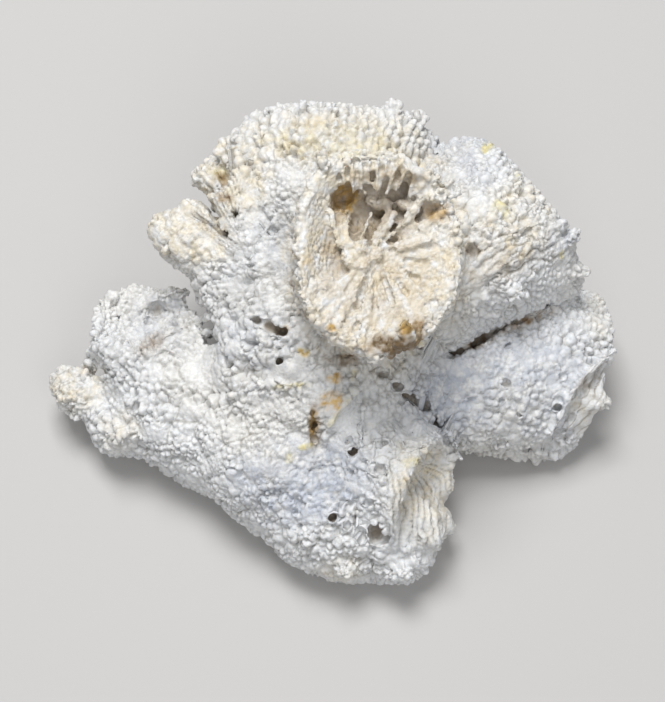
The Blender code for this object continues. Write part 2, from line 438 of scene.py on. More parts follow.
CENTRE_POCKETS = [  # view place, reach across and down, height of the middle, half height, turn if any
    (383, 186, 46, 19, -0.8, 2.9), (374, 212, 34, 27, -1, 8), (404, 206, 24, 17, -1, 6, 20),
    (345, 198, 13, 14, -4, 5.4, 15), (354, 194, 7, 8, -3.5, 3.6), (355, 222, 6, 12, -4.5, 5),
    (371, 228, 9, 14, -4.5, 4.6, 20), (404, 191, 5, 10, -4, 3.6, 30), (395, 196, 6, 7, -4, 3),
    (432, 211, 18, 10, -1.2, 2.2, 12), (390, 240, 13, 4, -3.5, 4.5, 25),
    (392, 250, 11, 2.6, -2.5, 2.6, 15), (378, 213, 12, 2.6, -6, 3.5, 8),
]
TOOTH_DROPS = (0.0, 0.8, 1.6, 2.4)  # a tooth is a stack of rods, which makes a plate
CENTRE_TEETH = [  # each: view places with height over the rim and radius
    [(322, 163, -0.2, 1.2), (328, 173, -1, 1.2), (333, 181, -2.4, 0.9)],
    [(343, 157, 0.2, 0.5), (343, 171, -0.4, 0.55), (344, 184, -1.6, 0.5)],
    [(351, 157, 0.3, 0.6), (352, 172, -0.3, 0.7), (353, 187, -1.6, 0.55), (353, 193, -3, 0.4)],
    [(361, 159, 0.2, 0.5), (361, 174, -0.5, 0.55), (361, 188, -2.2, 0.5)],
    [(369, 158, 0.2, 0.5), (369, 172, -0.5, 0.5), (368, 184, -1.8, 0.45)],
    [(378, 158, 0.2, 0.5), (377, 173, -0.5, 0.5), (377, 186, -1.8, 0.55)],
    [(388, 160, 0.2, 0.5), (385, 172, -0.6, 0.5), (381, 184, -1.9, 0.45)],
    [(397, 163, 0.2, 0.6), (392, 178, -0.6, 0.65), (387, 193, -2.4, 0.5)],
    [(407, 167, 0.2, 0.55), (402, 179, -0.6, 0.55), (396, 190, -2, 0.45)],
    [(417, 170, 0.3, 0.65), (412, 184, -0.6, 0.6), (409, 198, -2.2, 0.45)],
    [(429, 173, 0.4, 0.9), (423, 183, -0.3, 0.85), (417, 194, -1.4, 0.65)],
]
CENTRE_RODS = [  # the same, single rods
    [(438, 177, 0.3, 1), (427, 192, -1.2, 0.8), (418, 204, -2.6, 0.9), (410, 216, -3.4, 1.2),
     (404, 222, -3.8, 0.6), (395, 231, -4.2, 0.5), (384, 241, -4.2, 0.6)],
    [(450, 184, 0.3, 1.1), (440, 191, -0.4, 0.9), (432, 196, -1, 1.3)],
    [(460, 191, 0.2, 1.1), (447, 196, -0.4, 1.1)],
    [(340, 212, -5, 0.7), (341, 228, -4.2, 0.8), (344, 246, -3.2, 0.9)],
    [(347, 211, -4.2, 0.5), (348, 228, -3.8, 0.5), (348, 244, -3, 0.6)],
    [(371, 214, -4.2, 0.5), (364, 231, -3.8, 0.5), (357, 247, -3, 0.5)],
    [(394, 215, -5, 1), (386, 227, -4.4, 1), (376, 243, -3.2, 0.9)],
    [(389, 210, -6, 0.7), (380, 226, -5, 0.5), (372, 240, -3.6, 0.6)],
    [(331, 213, -2.6, 0.8), (334, 228, -3, 0.8), (340, 244, -3.2, 0.9)],
    [(400, 203, -5, 1), (408, 208, -4.4, 1), (416, 203, -3.4, 0.9)],
    [(398, 249, -2.6, 0.6), (412, 246, -2, 0.7), (428, 240, -1.6, 0.7)],
]
CENTRE_KNOBS = [  # view place, height over the rim, radius
    (377, 187, -1.8, 1.2), (360, 188, -2.8, 0.7), (365, 193, -3.2, 0.6), (433, 195, -1, 1.5),
    (447, 194, -0.6, 1.1), (364, 243, -2.6, 1.1), (352, 245, -3.2, 1), (358, 250, -3.2, 1.1),
    (368, 251, -3.2, 1.2), (378, 249, -3.4, 1), (346, 252, -3.4, 1.1), (360, 258, -3.2, 1),
    (371, 259, -3.2, 1), (410, 216, -3.6, 1.25), (378, 203, -6.2, 1.9), (370, 201, -6, 1.3),
    (387, 203, -6, 1.3), (385, 246, -3.6, 0.8), (378, 256, -2.8, 1.2), (368, 262, -2.6, 1.1),
    (352, 258, -2.9, 1.1), (362, 250, -2.6, 1.1), (350, 263, -2.9, 1.3), (357, 266, -2.8, 1.2),
    (345, 257, -3.1, 1.2), (366, 267, -2.5, 1.1), (404, 208, -5.2, 1), (418, 172, 0.2, 1.4),
    (324, 289, -2.3, 1.5), (330, 284, -2.7, 1.4),
]


def centre_septa(blank, rng, count):
    """Septa of the lower part, and the teeth, rods and knobs of the upper part and the middle."""
    parts = []
    for k in range(count):
        share = (k + rng.uniform(-0.12, 0.12)) / count
        angle = CENTRE.turn_at(share)
        major = k % 2 == 0
        if TEETH_FROM < angle or angle < TEETH_TO:
            continue
        lift = rng.uniform(-0.25, 0.35) - 0.7 * float(centre_fill(angle))
        inner = 0.10 if major else rng.uniform(0.52, 0.68)
        packed = CENTRE.girth / count

        def top(radius):
            return centre_slope(radius / 0.97) + 0.15 + 0.5 * lift

        def bottom(radius):
            return centre_slope(radius) - 2.6

        def thickness(radius):
            if not major:
                return 0.86 * packed * radius
            return np.maximum(0.8, packed * radius * mix(1.8, 0.94, smoothstep(0.5, 0.75, radius)))

        parts.append(plate(blank, CENTRE, angle, inner, 1.0, top, bottom, thickness, rng, sway=0.22))
    rods = []
    lines = [(line, TOOTH_DROPS) for line in CENTRE_TEETH] + [(line, (0.0,)) for line in CENTRE_RODS]
    for line, drops in lines:
        for drop in drops:
            places = [CENTRE.seen(x, y, height - drop) for x, y, height, _ in line]
            rods.append(rod(places, [radius for *_, radius in line], rng))
    parts.append(tubes(rods, "centre_rods"))
    for x, y, height, radius in CENTRE_KNOBS:
        radii = radius * rng.uniform(0.85, 1.15, 3)
        parts.append(ball(CENTRE.seen(x, y, height), radii))
    return parts


def side_floor(depth):
    """Floor of an even bowl of that depth."""
    return lambda share, angle: -depth * (1 - 0.75 * share ** 2.2)


def side_septa(blank, cup, rng, count, depth):
    """Septa and columella of a cup that is an even bowl."""
    parts = []
    floor = side_floor(depth)
    for k in range(count):
        angle = cup.turn_at((k + rng.uniform(-0.1, 0.1)) / count)
        major = k % 2 == 0
        lift = rng.uniform(-0.4, 0.4)

        def top(radius):
            return -(0.4 + 0.72 * depth * (1 - np.minimum(radius / 0.9, 1.0)) ** 0.8) + lift

        def bottom(radius):
            return floor(radius / SIDE_EDGE, angle) - 1.2

        def thickness(radius):
            packed = np.maximum(0.5, 0.55 * cup.girth / count * radius)
            return np.minimum(1.3, packed) * (1 if major else 0.8)

        parts.append(plate(blank, cup, angle, 0.08 if major else 0.5, 0.94, top, bottom, thickness, rng))
    for _ in range(9):
        share, angle = rng.uniform(0.0, 0.16, 1), rng.uniform(0, 6.28, 1)
        height = rng.uniform(-0.85, -0.62, 1) * depth
        parts.append(ball(cup.place(share, angle, height)[0], rng.uniform(0.8, 1.5, 3)))
    return parts


# ---------------------------------------------------------------- the crust's lie

class Zone(NamedTuple):
    """A part of the face with its own beads."""
    x: float
    y: float
    reach_x: float
    reach_y: float
    turn: float
    spacing: float
    relief: float
    ratio: float = 1.0
    lean: float = 0.0  # direction of the long beads in the view, degrees


ZONES = [
    Zone(255, 355, 45, 40, 0, 1.75, 1), Zone(185, 420, 60, 45, 0, 1.45, 1.05),
    Zone(255, 290, 42, 38, 0, 1.35, 1, 1.7, 5), Zone(300, 465, 55, 35, 0, 1, 0.75),
    Zone(230, 470, 50, 30, 0, 1.1, 0.75), Zone(343, 410, 16, 34, 10, 0.9, 0.3),
    Zone(288, 370, 16, 13, 0, 0.8, 0.2), Zone(320, 540, 80, 30, 0, 1.3, 0.95),
    Zone(300, 190, 50, 25, 0, 0.95, 0.75), Zone(455, 160, 36, 36, 0, 1.3, 0.8),
    Zone(480, 205, 40, 30, 0, 1.2, 0.9), Zone(565, 240, 18, 28, 0, 1.1, 0.3),
    Zone(510, 265, 48, 22, 27, 1.4, 1, 1.5, 27), Zone(490, 310, 55, 22, 20, 1.5, 0.9),
    Zone(520, 380, 70, 55, 0, 1.3, 0.62), Zone(580, 340, 28, 40, 0, 1.5, 0.75),
    Zone(450, 395, 26, 36, 0, 1.3, 0.6), Zone(170, 235, 34, 32, 0, 0.8, 0.7),
    Zone(215, 232, 30, 14, -32, 0.7, 0.35, 2.5, -32), Zone(225, 190, 26, 30, 0, 0.75, 0.45, 1.8, -50),
    Zone(255, 222, 13, 14, 0, 0.8, 0.25), Zone(130, 315, 45, 35, 0, 1.05, 0.8),
    Zone(195, 350, 30, 40, 30, 1, 0.5, 2, -40), Zone(388, 402, 30, 44, 35, 1.15, 0.95, 1.7, -52),
    Zone(415, 430, 14, 12, 0, 1, 0.6), Zone(420, 505, 25, 50, 10, 0.8, 0.3),
    Zone(285, 255, 8, 40, 0, 1.2, 0.35), Zone(402, 336, 22, 16, 0, 1.3, 0.35),
]
PITS = [  # view place, reach across and down in steps, depth in millimetres, turn if any
    (193, 195, 10, 8, 20), (203, 198, 8, 9, 24), (209, 206, 7, 9, 24, 25), (215, 215, 5, 8, 24, 30),
    (214, 231, 32, 8, 1.2, -38), (192, 300, 8, 7, 34, -20), (202, 311, 7, 8, 34, 25),
    (209, 326, 7, 11, 34, 20), (213, 341, 5, 10, 34, 10), (236, 214, 6, 5, 12), (222, 178, 8.5, 5.5, 1.3),
    (210, 187, 2.6, 6.5, 1.3, 20), (224, 198, 7, 3, 1.6, -45), (229, 205, 3, 2.2, 1.5),
    (238, 193, 3, 5, 1.4, 20), (243, 283, 5.5, 8, 1.6), (227, 359, 5.8, 8.5, 1), (279, 362, 3.4, 4, 2.6),
    (313, 412, 3.8, 7, 4), (313, 425, 5.6, 8, 3.6), (314, 437, 3.2, 8, 3), (338, 390, 9, 18, 1.3, -15),
    (350, 445, 4.6, 12, 3.4), (298, 503, 3.2, 3.2, 1.4), (296, 513, 2.4, 4, 1.6, 20),
    (318, 527, 2.6, 8, 1.5, 12), (333, 517, 2.6, 2.4, 3), (348, 526, 3.2, 2.4, 2.4), (376, 536, 8, 9, 2.2),
    (383, 541, 7, 7, 1.8), (361, 537, 4, 7, 1.8), (347, 488, 6, 2.6, 1.4), (367, 503, 9, 2.5, 1.2),
    (473, 346, 6, 5, 5), (507, 384, 3.4, 4.6, 1.8, 20), (502, 402, 2.8, 3.4, 1.8), (520, 416, 1.6, 3, 1.6),
    (558, 408, 2.3, 2.6, 1.8), (477, 424, 4.4, 3.6, 1.2), (594, 399, 8, 3.2, 3, -15),
    (565, 376, 3, 2.5, 0.7), (470, 253, 9, 8, 2.2, 20), (488, 284, 2, 1.6, 1.4), (531, 238, 3, 2, 1.4),
    (475, 198, 1.4, 1.2, 1), (120, 317, 4.5, 3.5, 1.4), (100, 373, 6, 7, 26), (156, 313, 13, 7, 1.6, 8),
    (148, 321, 4, 5, 1.6), (141, 452, 7, 3, 3), (138, 407, 3.5, 4, 1.6), (197, 449, 9, 1.6, 1, -12),
    (232, 416, 2.6, 3.6, 1.4, 20), (222, 425, 4, 1.6, 1, 20), (254, 320, 4.5, 2.2, 2),
    (285, 329, 5, 2.2, 2, -20), (268, 324, 8, 1.4, 1.2, -22), (253, 392, 8, 1.6, 1, 10),
    (97, 400, 5, 3.5, 1, 10), (77, 401, 7, 2.2, 1.4, 8), (385, 375, 9, 4, 2, -42), (401, 399, 4, 3.5, 1.8),
    (414, 405, 7, 2.2, 1.6, -18), (437, 424, 6, 5, 2.4, -50), (446, 437, 4.5, 9, 2.6, 25),
    (423, 456, 5, 2, 1.6), (404, 457, 3, 5, 1.6, -60), (381, 443, 12, 4, 1.6), (378, 469, 5, 3, 1.6),
]
THROUGH = 10.0  # pits deeper than this part two branches, and their walls are plain crust
GROOVES = [  # view places with radius in millimetres; the middle lies at the skin
    [(315, 296, 0.25), (324, 289, 0.3), (334, 281, 0.35), (344, 276, 0.55)],
    [(262, 211, 0.22), (268, 216, 0.22), (271, 224, 0.22), (270, 234, 0.22)],
    [(505, 244, 0.3), (516, 239, 0.45), (530, 233, 0.35)],
    [(494, 274, 0.35), (505, 269, 0.5), (513, 271, 0.45), (520, 277, 0.35)],
    [(186, 214, 0.4), (200, 222, 0.5), (215, 230, 0.5), (232, 242, 0.4)],
    [(560, 433, 0.6), (545, 446, 0.7), (530, 452, 0.5), (510, 447, 0.5), (490, 444, 0.5)],
    [(585, 428, 0.4), (560, 442, 0.6), (545, 454, 0.6)],
    [(253, 236, 0.2), (258, 239, 0.25), (263, 244, 0.2)],
    [(118, 325, 0.25), (124, 335, 0.3), (130, 343, 0.2)],
    [(139, 360, 0.3), (146, 354, 0.5), (155, 345, 0.7), (164, 338, 0.7), (174, 333, 0.5), (184, 329, 0.3)],
    [(616, 364, 0.4), (603, 372, 0.6), (589, 387, 0.7), (578, 404, 0.7), (571, 421, 0.6), (562, 440, 0.4)],
]
CRACKS = [  # view places with radius in millimetres at the skin; they narrow downwards
    [(440, 357, 0.7), (469, 347, 1), (500, 329, 0.8), (530, 312, 0.7), (556, 304, 0.6), (583, 294, 0.5)],
    [(380, 374, 0.6), (392, 379, 0.7), (405, 394, 0.6), (420, 404, 0.7), (430, 410, 0.8), (438, 423, 1),
     (447, 438, 1), (453, 452, 0.8)],
    [(335, 355, 0.3), (350, 359, 0.45), (366, 357, 0.35), (392, 355, 0.35), (406, 353, 0.3)],
    [(250, 320, 0.4), (262, 323, 0.5), (275, 328, 0.6), (288, 331, 0.5)],
]
RIDGES = [  # view places with radius in millimetres and how far the middle is sunk
    [(376, 341, 0.5, 0.2), (388, 336, 0.5, -0.1), (400, 330, 0.5, -0.3), (408, 321, 0.6, -0.5),
     (419, 328, 0.5, -0.3), (422, 342, 0.4, 0)],
    [(614, 352, 0.9, -0.4), (598, 364, 1, -1), (582, 379, 1, -1.2), (570, 395, 1, -1.2),
     (562, 414, 0.9, -1), (552, 434, 0.8, -0.2)],
    [(374, 446, 1.2, 0.2), (372, 460, 1.3, 0.2), (367, 474, 1.3, 0.3)],
    [(485, 273, 0.8, 0.2), (505, 264, 0.85, 0), (525, 254, 0.8, 0), (545, 245, 0.7, 0.2)],
    [(508, 236, 0.9, 0.2), (525, 228, 0.9, 0.2), (540, 224, 0.8, 0.4)],
    [(512, 248, 1, 0.4), (530, 243, 1.1, 0.2), (543, 239, 1, 0.3)],
    [(145, 354, 0.7, 0.2), (160, 349, 0.8, 0.1), (172, 352, 0.8, 0.2), (182, 357, 0.7, 0.4)],
    [(142, 351, 0.9, -0.2), (150, 340, 1.1, -0.4), (160, 331, 1.1, -0.4), (172, 325, 1, -0.2),
     (186, 321, 0.8, 0.2)],
    [(186, 293, 1.2, 0.2), (176, 291, 1.1, -0.1), (165, 296, 1.1, -0.2), (152, 300, 1.1, -0.2),
     (141, 309, 0.9, 0)],
    [(84, 377, 1.3, 0.6), (88, 366, 1.1, 0.3), (92, 354, 1.1, 0.3), (98, 343, 1.3, 0.6)],
    [(274, 381, 0.6, -0.2), (288, 387, 0.7, -0.4), (300, 386, 0.6, -0.4), (311, 381, 0.5, -0.1)],
    [(300, 446, 0.35, 0.1), (308, 445, 0.4, 0), (316, 441, 0.3, 0.1)],
    [(403, 460, 0.4, 0), (410, 451, 0.5, -0.1), (420, 447, 0.5, -0.1), (428, 438, 0.4, 0)],
    [(405, 412, 0.5, 0.2), (420, 415, 0.6, 0.1), (432, 425, 0.6, 0.1), (440, 437, 0.6, 0.2),
     (444, 450, 0.5, 0.3)],
    [(408, 440, 0.5, 0.2), (420, 441, 0.5, 0.1), (428, 433, 0.5, 0.1), (424, 422, 0.5, 0.2)],
]
BARS = [  # the same, standing free in hollows
    [(368, 523, 0.5, 0.3), (367, 538, 0.45, 0.5), (366, 552, 0.5, 0.3)],
    [(351, 434, 0.8, 1), (350, 447, 0.8, 1.3)],
    [(358, 371, 0.5, -0.3), (355, 380, 0.5, -0.7), (353, 391, 0.5, -0.8), (346, 402, 0.5, -0.8),
     (338, 413, 0.5, -0.6), (325, 431, 0.4, -0.2)],
    [(363, 403, 0.55, -0.2), (361, 420, 0.6, -0.5), (361, 440, 0.65, -0.6), (363, 460, 0.7, -0.3)],
    [(86, 380, 1.1, 0.5), (90, 364, 0.9, 0.4), (96, 344, 1.1, 0.5)],
    [(232, 204, 0.5, 0.6), (216, 192, 0.5, 0.6), (204, 180, 0.5, 0.6)],
    [(228, 214, 0.5, 0.6), (214, 200, 0.5, 0.6), (206, 190, 0.5, 0.6)],
]
NUBS = [  # view place of the foot, steps across and down to the tip, radius of foot and tip in millimetres
    (393, 114, 0, -11, 1.5, 1.3), (576, 271, 13, -1, 2, 1.1), (566, 241, 9, -6, 1.8, 1.3),
    (556, 228, 8, -3, 1.8, 1.3), (496, 153, 4, 0, 1.2, 1), (520, 179, 3, -1, 1.2, 0.9),
    (174, 292, 7, 2, 1.2, 1.2), (202, 174, -5, 3, 1.2, 0.8), (222, 152, -3, -2, 1.2, 0.9),
    (608, 331, 2, 0, 1.2, 1), (330, 112, 2, -6, 1.7, 1.6), (304, 110, 0, -5, 1.6, 1.5),
    (270, 116, -1, -4, 1.6, 1.5), (417, 122, 1, -4, 1.6, 1.5), (251, 122, -1, -3, 1.6, 1.5),
    (188, 206, 1, -1, 1.2, 1), (400, 570, 4, 5, 1.8, 1.5), (412, 558, 4, 4, 1.2, 1),
    (65, 373, -3, -4, 1.6, 1.4), (62, 401, -4, 1, 1, 0.8), (345, 572, -2, 3, 1.8, 1.5),
]
KNOBS = [  # view place, reach across and down in steps, how far the middle is sunk, in millimetres
    (247, 207, 6.5, 6.5, 0.3), (265, 204, 7, 6, 0.4), (269, 210, 5, 4, 0.3), (258, 222, 12, 12, 1.6),
    (417, 430, 12, 11, 1.4), (402, 333, 20, 14, 0.6), (385, 342, 10, 8, 0.8), (262, 385, 8, 6, 0.6),
    (248, 387, 6, 5, 0.5), (227, 361, 5, 7, 0.1), (243, 284, 3.4, 5, 0.2), (350, 438, 4, 8, 0.2),
    (500, 278, 11, 7, 0.8), (515, 293, 9, 8, 0.8), (465, 299, 6, 6, 0.6), (485, 297, 8, 7, 0.8),
    (475, 307, 8, 6, 0.8), (258, 330, 8, 7, 0.8), (247, 325, 5, 4.5, 0.4), (265, 345, 9, 9, 1),
    (243, 340, 6, 6, 0.7), (292, 371, 15, 11, 1.5), (295, 335, 8, 8, 0.8), (305, 340, 6, 6, 0.6),
    (553, 307, 8, 7, 0.9), (545, 335, 7, 6, 0.9), (370, 520, 5, 4, 0.4), (183, 294, 5, 4, 0.2),
    (350, 500, 9, 5, 0.8), (60, 378, 8, 9, 0.9), (70, 397, 9, 4, 0.5), (85, 400, 8, 8, 1),
    (121, 434, 13, 12, 1.4), (108, 433, 6, 6, 0.6), (125, 447, 6, 6, 0.6), (132, 400, 6, 7, 0.6),
    (104, 345, 8, 8, 0.8), (452, 445, 5, 9, 0.5), (458, 455, 4, 8, 0.4), (418, 362, 9, 6, 0.8),
    (440, 350, 9, 5, 0.8),
]
LUMPS = [  # view place, reach across and down in steps, half depth and sink in millimetres, turn if any
    (170, 298, 16, 8, 3.4, 1.6, 8), (228, 158, 10, 20, 4, 0.8, -15), (221, 188, 14, 36, 7, 1.5, 27),
    (214, 166, 12, 12, 4, 1), (434, 512, 11, 30, 6, 0.5, 12), (414, 514, 21, 46, 5, 0.8, 12),
    (438, 485, 19, 15, 2.6, 0.2, -35), (398, 572, 15, 12, 2.4, 0.6), (568, 239, 12, 14, 2.4, 1.2),
    (345, 566, 14, 9, 2.4, 1), (268, 345, 20, 14, 2.2, 1), (245, 395, 22, 16, 2, 1),
    (500, 285, 26, 12, 2, 1, 20), (120, 436, 14, 12, 2.4, 0.6), (370, 340, 30, 10, 2.2, 1.2),
    (404, 335, 18, 13, 2.6, 0.2, 15), (590, 403, 12, 24, 3, 1.2, 18),
]
FANS = [  # two lines that bound a fan of folds, how many folds, their height, their beads' relief
    ([(385, 470), (388, 490), (387, 515), (383, 550)],
     [(425, 473), (437, 492), (444, 515), (442, 552)], 7, 1.4, 0.35),
    ([(408, 465), (420, 470), (430, 480), (437, 502)],
     [(415, 458), (436, 461), (455, 470), (456, 492)], 4, 0.6, 0.4),
    ([(604, 352), (587, 368), (572, 388), (560, 412), (550, 436)],
     [(616, 374), (610, 400), (601, 420), (580, 442)], 6, 0.3, 0.15),
    ([(244, 244), (228, 222), (212, 198), (197, 179)],
     [(244, 226), (243, 200), (240, 172), (237, 150)], 7, 1.2, 0.6),
    ([(188, 221), (206, 236), (232, 252)],
     [(192, 206), (216, 221), (244, 244)], 4, 1, 0.4),
    ([(462, 252), (500, 229), (556, 203)],
     [(486, 290), (520, 278), (574, 262)], 5, 0.8, 0.75),
]
ROWS = [  # cup, rows of beads round it, how far they reach down from the rim in millimetres
    (TOP, 62, 14.0), (RIGHT, 70, 3.0), (LOWER_RIGHT, 54, 7.0), (LEFT, 46, 4.0),
]
OWNED = [  # places that are one branch's alone: view place, reach across and down in steps, turn
    ("left_corallite", 158, 312, 40, 34, 0), ("trunk", 226, 318, 26, 42, 0),
    ("upper_left_corallite", 230, 183, 27, 46, 22), ("lower_corallite", 400, 540, 44, 34, 0),
]
SPLITS = [  # view places along a crack, the branch above or right of it, the other branch
    ([(436, 358), (469, 347), (500, 329), (530, 312), (556, 304), (583, 294), (600, 286)],
     "right_corallite", "lower_right_corallite"),
    ([(430, 410), (438, 423), (447, 438), (453, 452), (457, 464)],
     "lower_right_corallite", "lower_corallite"),
    ([(205, 320), (209, 330), (213, 346)], "trunk", "left_corallite"),
]
SIDE_CUPS = [(TOP, 9.0), (RIGHT, 9.0), (LOWER_RIGHT, 8.0)]  # cups that are even bowls, and their depth
SIDE_EDGE = 0.86
TRUNK_PLACE = (250, 460)  # a view place on the trunk
CRACK_LAYERS = ((0.0, 1.1), (1.0, 0.95), (2.0, 0.8), (2.8, 0.6))  # sink in millimetres, share of the radius
CUTTER_FINENESS = 0.3
SLOTS = {"trunk": "white_crust", "lower_right_corallite": "white_crust", "left_corallite": "white_crust"}
FLAT_REACH = 0.6  # the crust stays plain this near the floor, in millimetres
SPLIT_REACH = 4.0
TEETH_END = 196  # the view place down to which the centre cup's beads are low
CENTRE_REACH = 18.0  # how far under its rim a point still counts as inside a cup
CUP_REACHES = ((CENTRE, CENTRE_REACH), (TOP, 11.0), (RIGHT, 11.0), (LOWER_RIGHT, 10.0))
# Stains, and painted shade: the crevice spots and part of the brown and blue ones stand for shade
STAINS_AND_SHADE = {  # each: view place, reach across and down in steps, share, turn if any
    # crevice: painted shade under the lip and the centre cup, behind the teeth, in the pockets, in the
    # cracks and on the neck
    "crevice_shade_and_dust": [
        (396, 346, 24, 9, 1, -12), (414, 336, 8, 10, 0.7), (240, 300, 24, 20, 0.3),
        (345, 359, 14, 5, 0.6, 10), (383, 184, 42, 13, 0.25, 8), (473, 347, 7, 5, 1),
        (598, 398, 8, 3, 1, -15), (372, 222, 24, 16, 0.35),
    ],
    "cream": [
        (377, 250, 88, 104, 1), (335, 140, 90, 30, 0.6), (230, 180, 40, 40, 0.8),
        (185, 230, 45, 32, 0.8, -20), (510, 215, 50, 30, 0.45, 20), (500, 250, 60, 22, 0.5, 25),
        (75, 385, 30, 25, 0.5), (120, 430, 20, 18, 0.5), (425, 490, 34, 50, 0.55), (590, 410, 20, 25, 0.4),
        (600, 310, 14, 30, 0.3), (340, 570, 24, 12, 0.3),
    ],
    # brown: real iron and tan stains, and painted shade under the lip, under the centre cup and along the
    # crack between the two right branches
    "brown_stain_and_shade": [
        (346, 198, 14, 15, 0.6), (355, 222, 7, 12, 0.5), (438, 213, 15, 9, 0.5, 10),
        (385, 182, 44, 16, 0.3, 8), (326, 247, 10, 8, 0.35), (222, 180, 10, 7, 0.6), (224, 199, 8, 5, 0.6),
        (413, 334, 14, 17, 1), (393, 347, 22, 10, 1, -12), (375, 280, 70, 70, 0.2),
        (480, 342, 18, 5, 0.8, 24), (525, 321, 34, 5, 0.55, 24), (372, 350, 22, 5, 0.5),
        (315, 425, 6, 20, 0.8), (345, 358, 20, 8, 0.6), (470, 252, 10, 9, 0.35),
        (150, 345, 16, 8, 0.35, 30), (215, 230, 30, 7, 0.15, -30), (590, 378, 16, 6, 0.3, 45),
        (331, 328, 5, 4, 0.7), (495, 270, 40, 20, 0.12, 25),
    ],
    "ochre": [
        (346, 198, 13, 14, 0.85), (440, 213, 14, 8, 0.4, 10), (304, 353, 6, 3, 0.6, -30),
        (332, 402, 11, 10, 1, -15), (334, 378, 7, 5, 0.9), (331, 328, 5, 4, 0.8), (286, 329, 5, 3, 0.5),
        (406, 326, 7, 9, 0.75, 20), (308, 262, 7, 6, 0.3), (314, 424, 5, 16, 0.4), (347, 168, 8, 12, 0.15),
    ],
    "straw": [
        (405, 322, 6, 8, 1, 20), (418, 334, 4, 13, 1, 5), (488, 147, 7, 4, 0.9, 20),
        (501, 209, 8, 9, 0.9, 30), (519, 175, 3, 6, 0.9), (308, 446, 9, 3, 0.9, 10), (289, 458, 4, 5, 1),
        (418, 463, 14, 5, 0.9), (562, 255, 3, 5, 0.8), (304, 352, 7, 4, 0.8, -30), (222, 176, 10, 8, 0.7),
        (291, 386, 18, 3, 0.7, 5), (335, 140, 70, 16, 0.25), (355, 378, 3, 10, 0.4, 5),
        (350, 396, 3, 11, 0.4, -25), (336, 416, 3, 13, 0.4, -38),
    ],
    # blue: partly real bluish chalcedony, partly painted shade on the lower parts
    "blue": [
        (450, 160, 40, 40, 0.55), (284, 250, 15, 36, 1), (565, 240, 20, 26, 0.6), (520, 385, 80, 60, 0.5),
        (450, 395, 40, 50, 0.7), (300, 480, 60, 40, 0.95), (260, 360, 50, 50, 0.5),
        (160, 320, 30, 30, 0.5),
    ],
}


# ---------------------------------------------------------------- the crust

def tree_of(points):
    tree = KDTree(len(points))
    for i, point in enumerate(points):
        tree.insert(point, i)
    tree.balance()
    return tree


def scattered(points, spacing, order):
    """Numbers of points half the sum of their spacings apart, taken in that order."""
    tree = KDTree(len(order))
    for i in order:
        tree.insert(points[i], int(i))
    tree.balance()
    blocked = np.zeros(len(points), bool)
    widest = float(spacing.max())
    chosen = []
    for i in order:
        if blocked[i]:
            continue
        chosen.append(i)
        here = spacing[i]
        for _, j, far in tree.find_range(points[i], 0.5 * (here + widest)):
            if far < 0.5 * (here + spacing[j]):
                blocked[j] = True
    return np.array(chosen)


def cells(points, centres, sizes, axes, ratios, near=6):
    """The nearest beads in order, and the distances to the first and second over their sizes."""
    tree = tree_of(centres)
    index = np.empty((len(points), near), int)
    for i, point in enumerate(points):
        index[i] = [j for _, j, _ in tree.find_n(point, near)]
    off = points[:, None, :] - centres[index]
    along = np.einsum("ijk,ijk->ij", off, axes[index])
    off = off - (along * (1 - 1 / ratios[index]))[..., None] * axes[index]
    far = np.linalg.norm(off, axis=2) / sizes[index]
    rank = np.argsort(far, axis=1)
    rows = np.arange(len(points))
    first = far[rows, rank[:, 0]]
    second = far[rows, rank[:, 1]]
    return index[rows[:, None], rank], first, second


def line_split(line, count):
    """Evenly spaced view places along a line of them."""
    line = np.array(line, float)
    lengths = np.concatenate([[0], np.cumsum(np.linalg.norm(np.diff(line, axis=0), axis=1))])
    at = np.linspace(0, lengths[-1], count)
    return np.stack([np.interp(at, lengths, line[:, k]) for k in range(2)], axis=1)


def folded(face, points, left, right, folds):
    """How far each point lies in a fan of folds, and its place across them."""
    rows = 44
    columns = folds * 10
    starts = line_split(left, rows)
    ends = line_split(right, rows)
    lattice = []
    across = []
    weight = []
    for i in range(rows):
        s = i / (rows - 1)
        for j in range(columns + 1):
            t = j / columns
            lattice.append(face.seen(*mix(starts[i], ends[i], t)))
            across.append(t * folds)
            weight.append(min(1.0, 6 * s + 0.2, 6 * (1 - s) + 0.2) * min(1.0, 10 * t, 10 * (1 - t)))
    lattice = np.array(lattice)
    tree = tree_of(lattice)
    share = np.zeros(len(points))
    phase = np.zeros(len(points))
    low, high = lattice.min(axis=0) - 1.0, lattice.max(axis=0) + 1.0
    for i in np.flatnonzero(np.all((points > low) & (points < high), axis=1)):
        _, j, far = tree.find(points[i])
        if far < 1.2:
            share[i] = weight[j] * (1.0 if far < 0.5 else (1.2 - far) / 0.7)
            phase[i] = across[j]
    return share, phase


def crest(phase):
    """0 on the crest of a fold and 1 between two folds."""
    return np.abs(phase - np.floor(phase) - 0.5) * 2


def marked(obj, name, values):
    """A number on each vertex."""
    mark = obj.data.attributes.new(name, "FLOAT", "POINT")
    mark.data.foreach_set("value", np.asarray(values, np.float32))


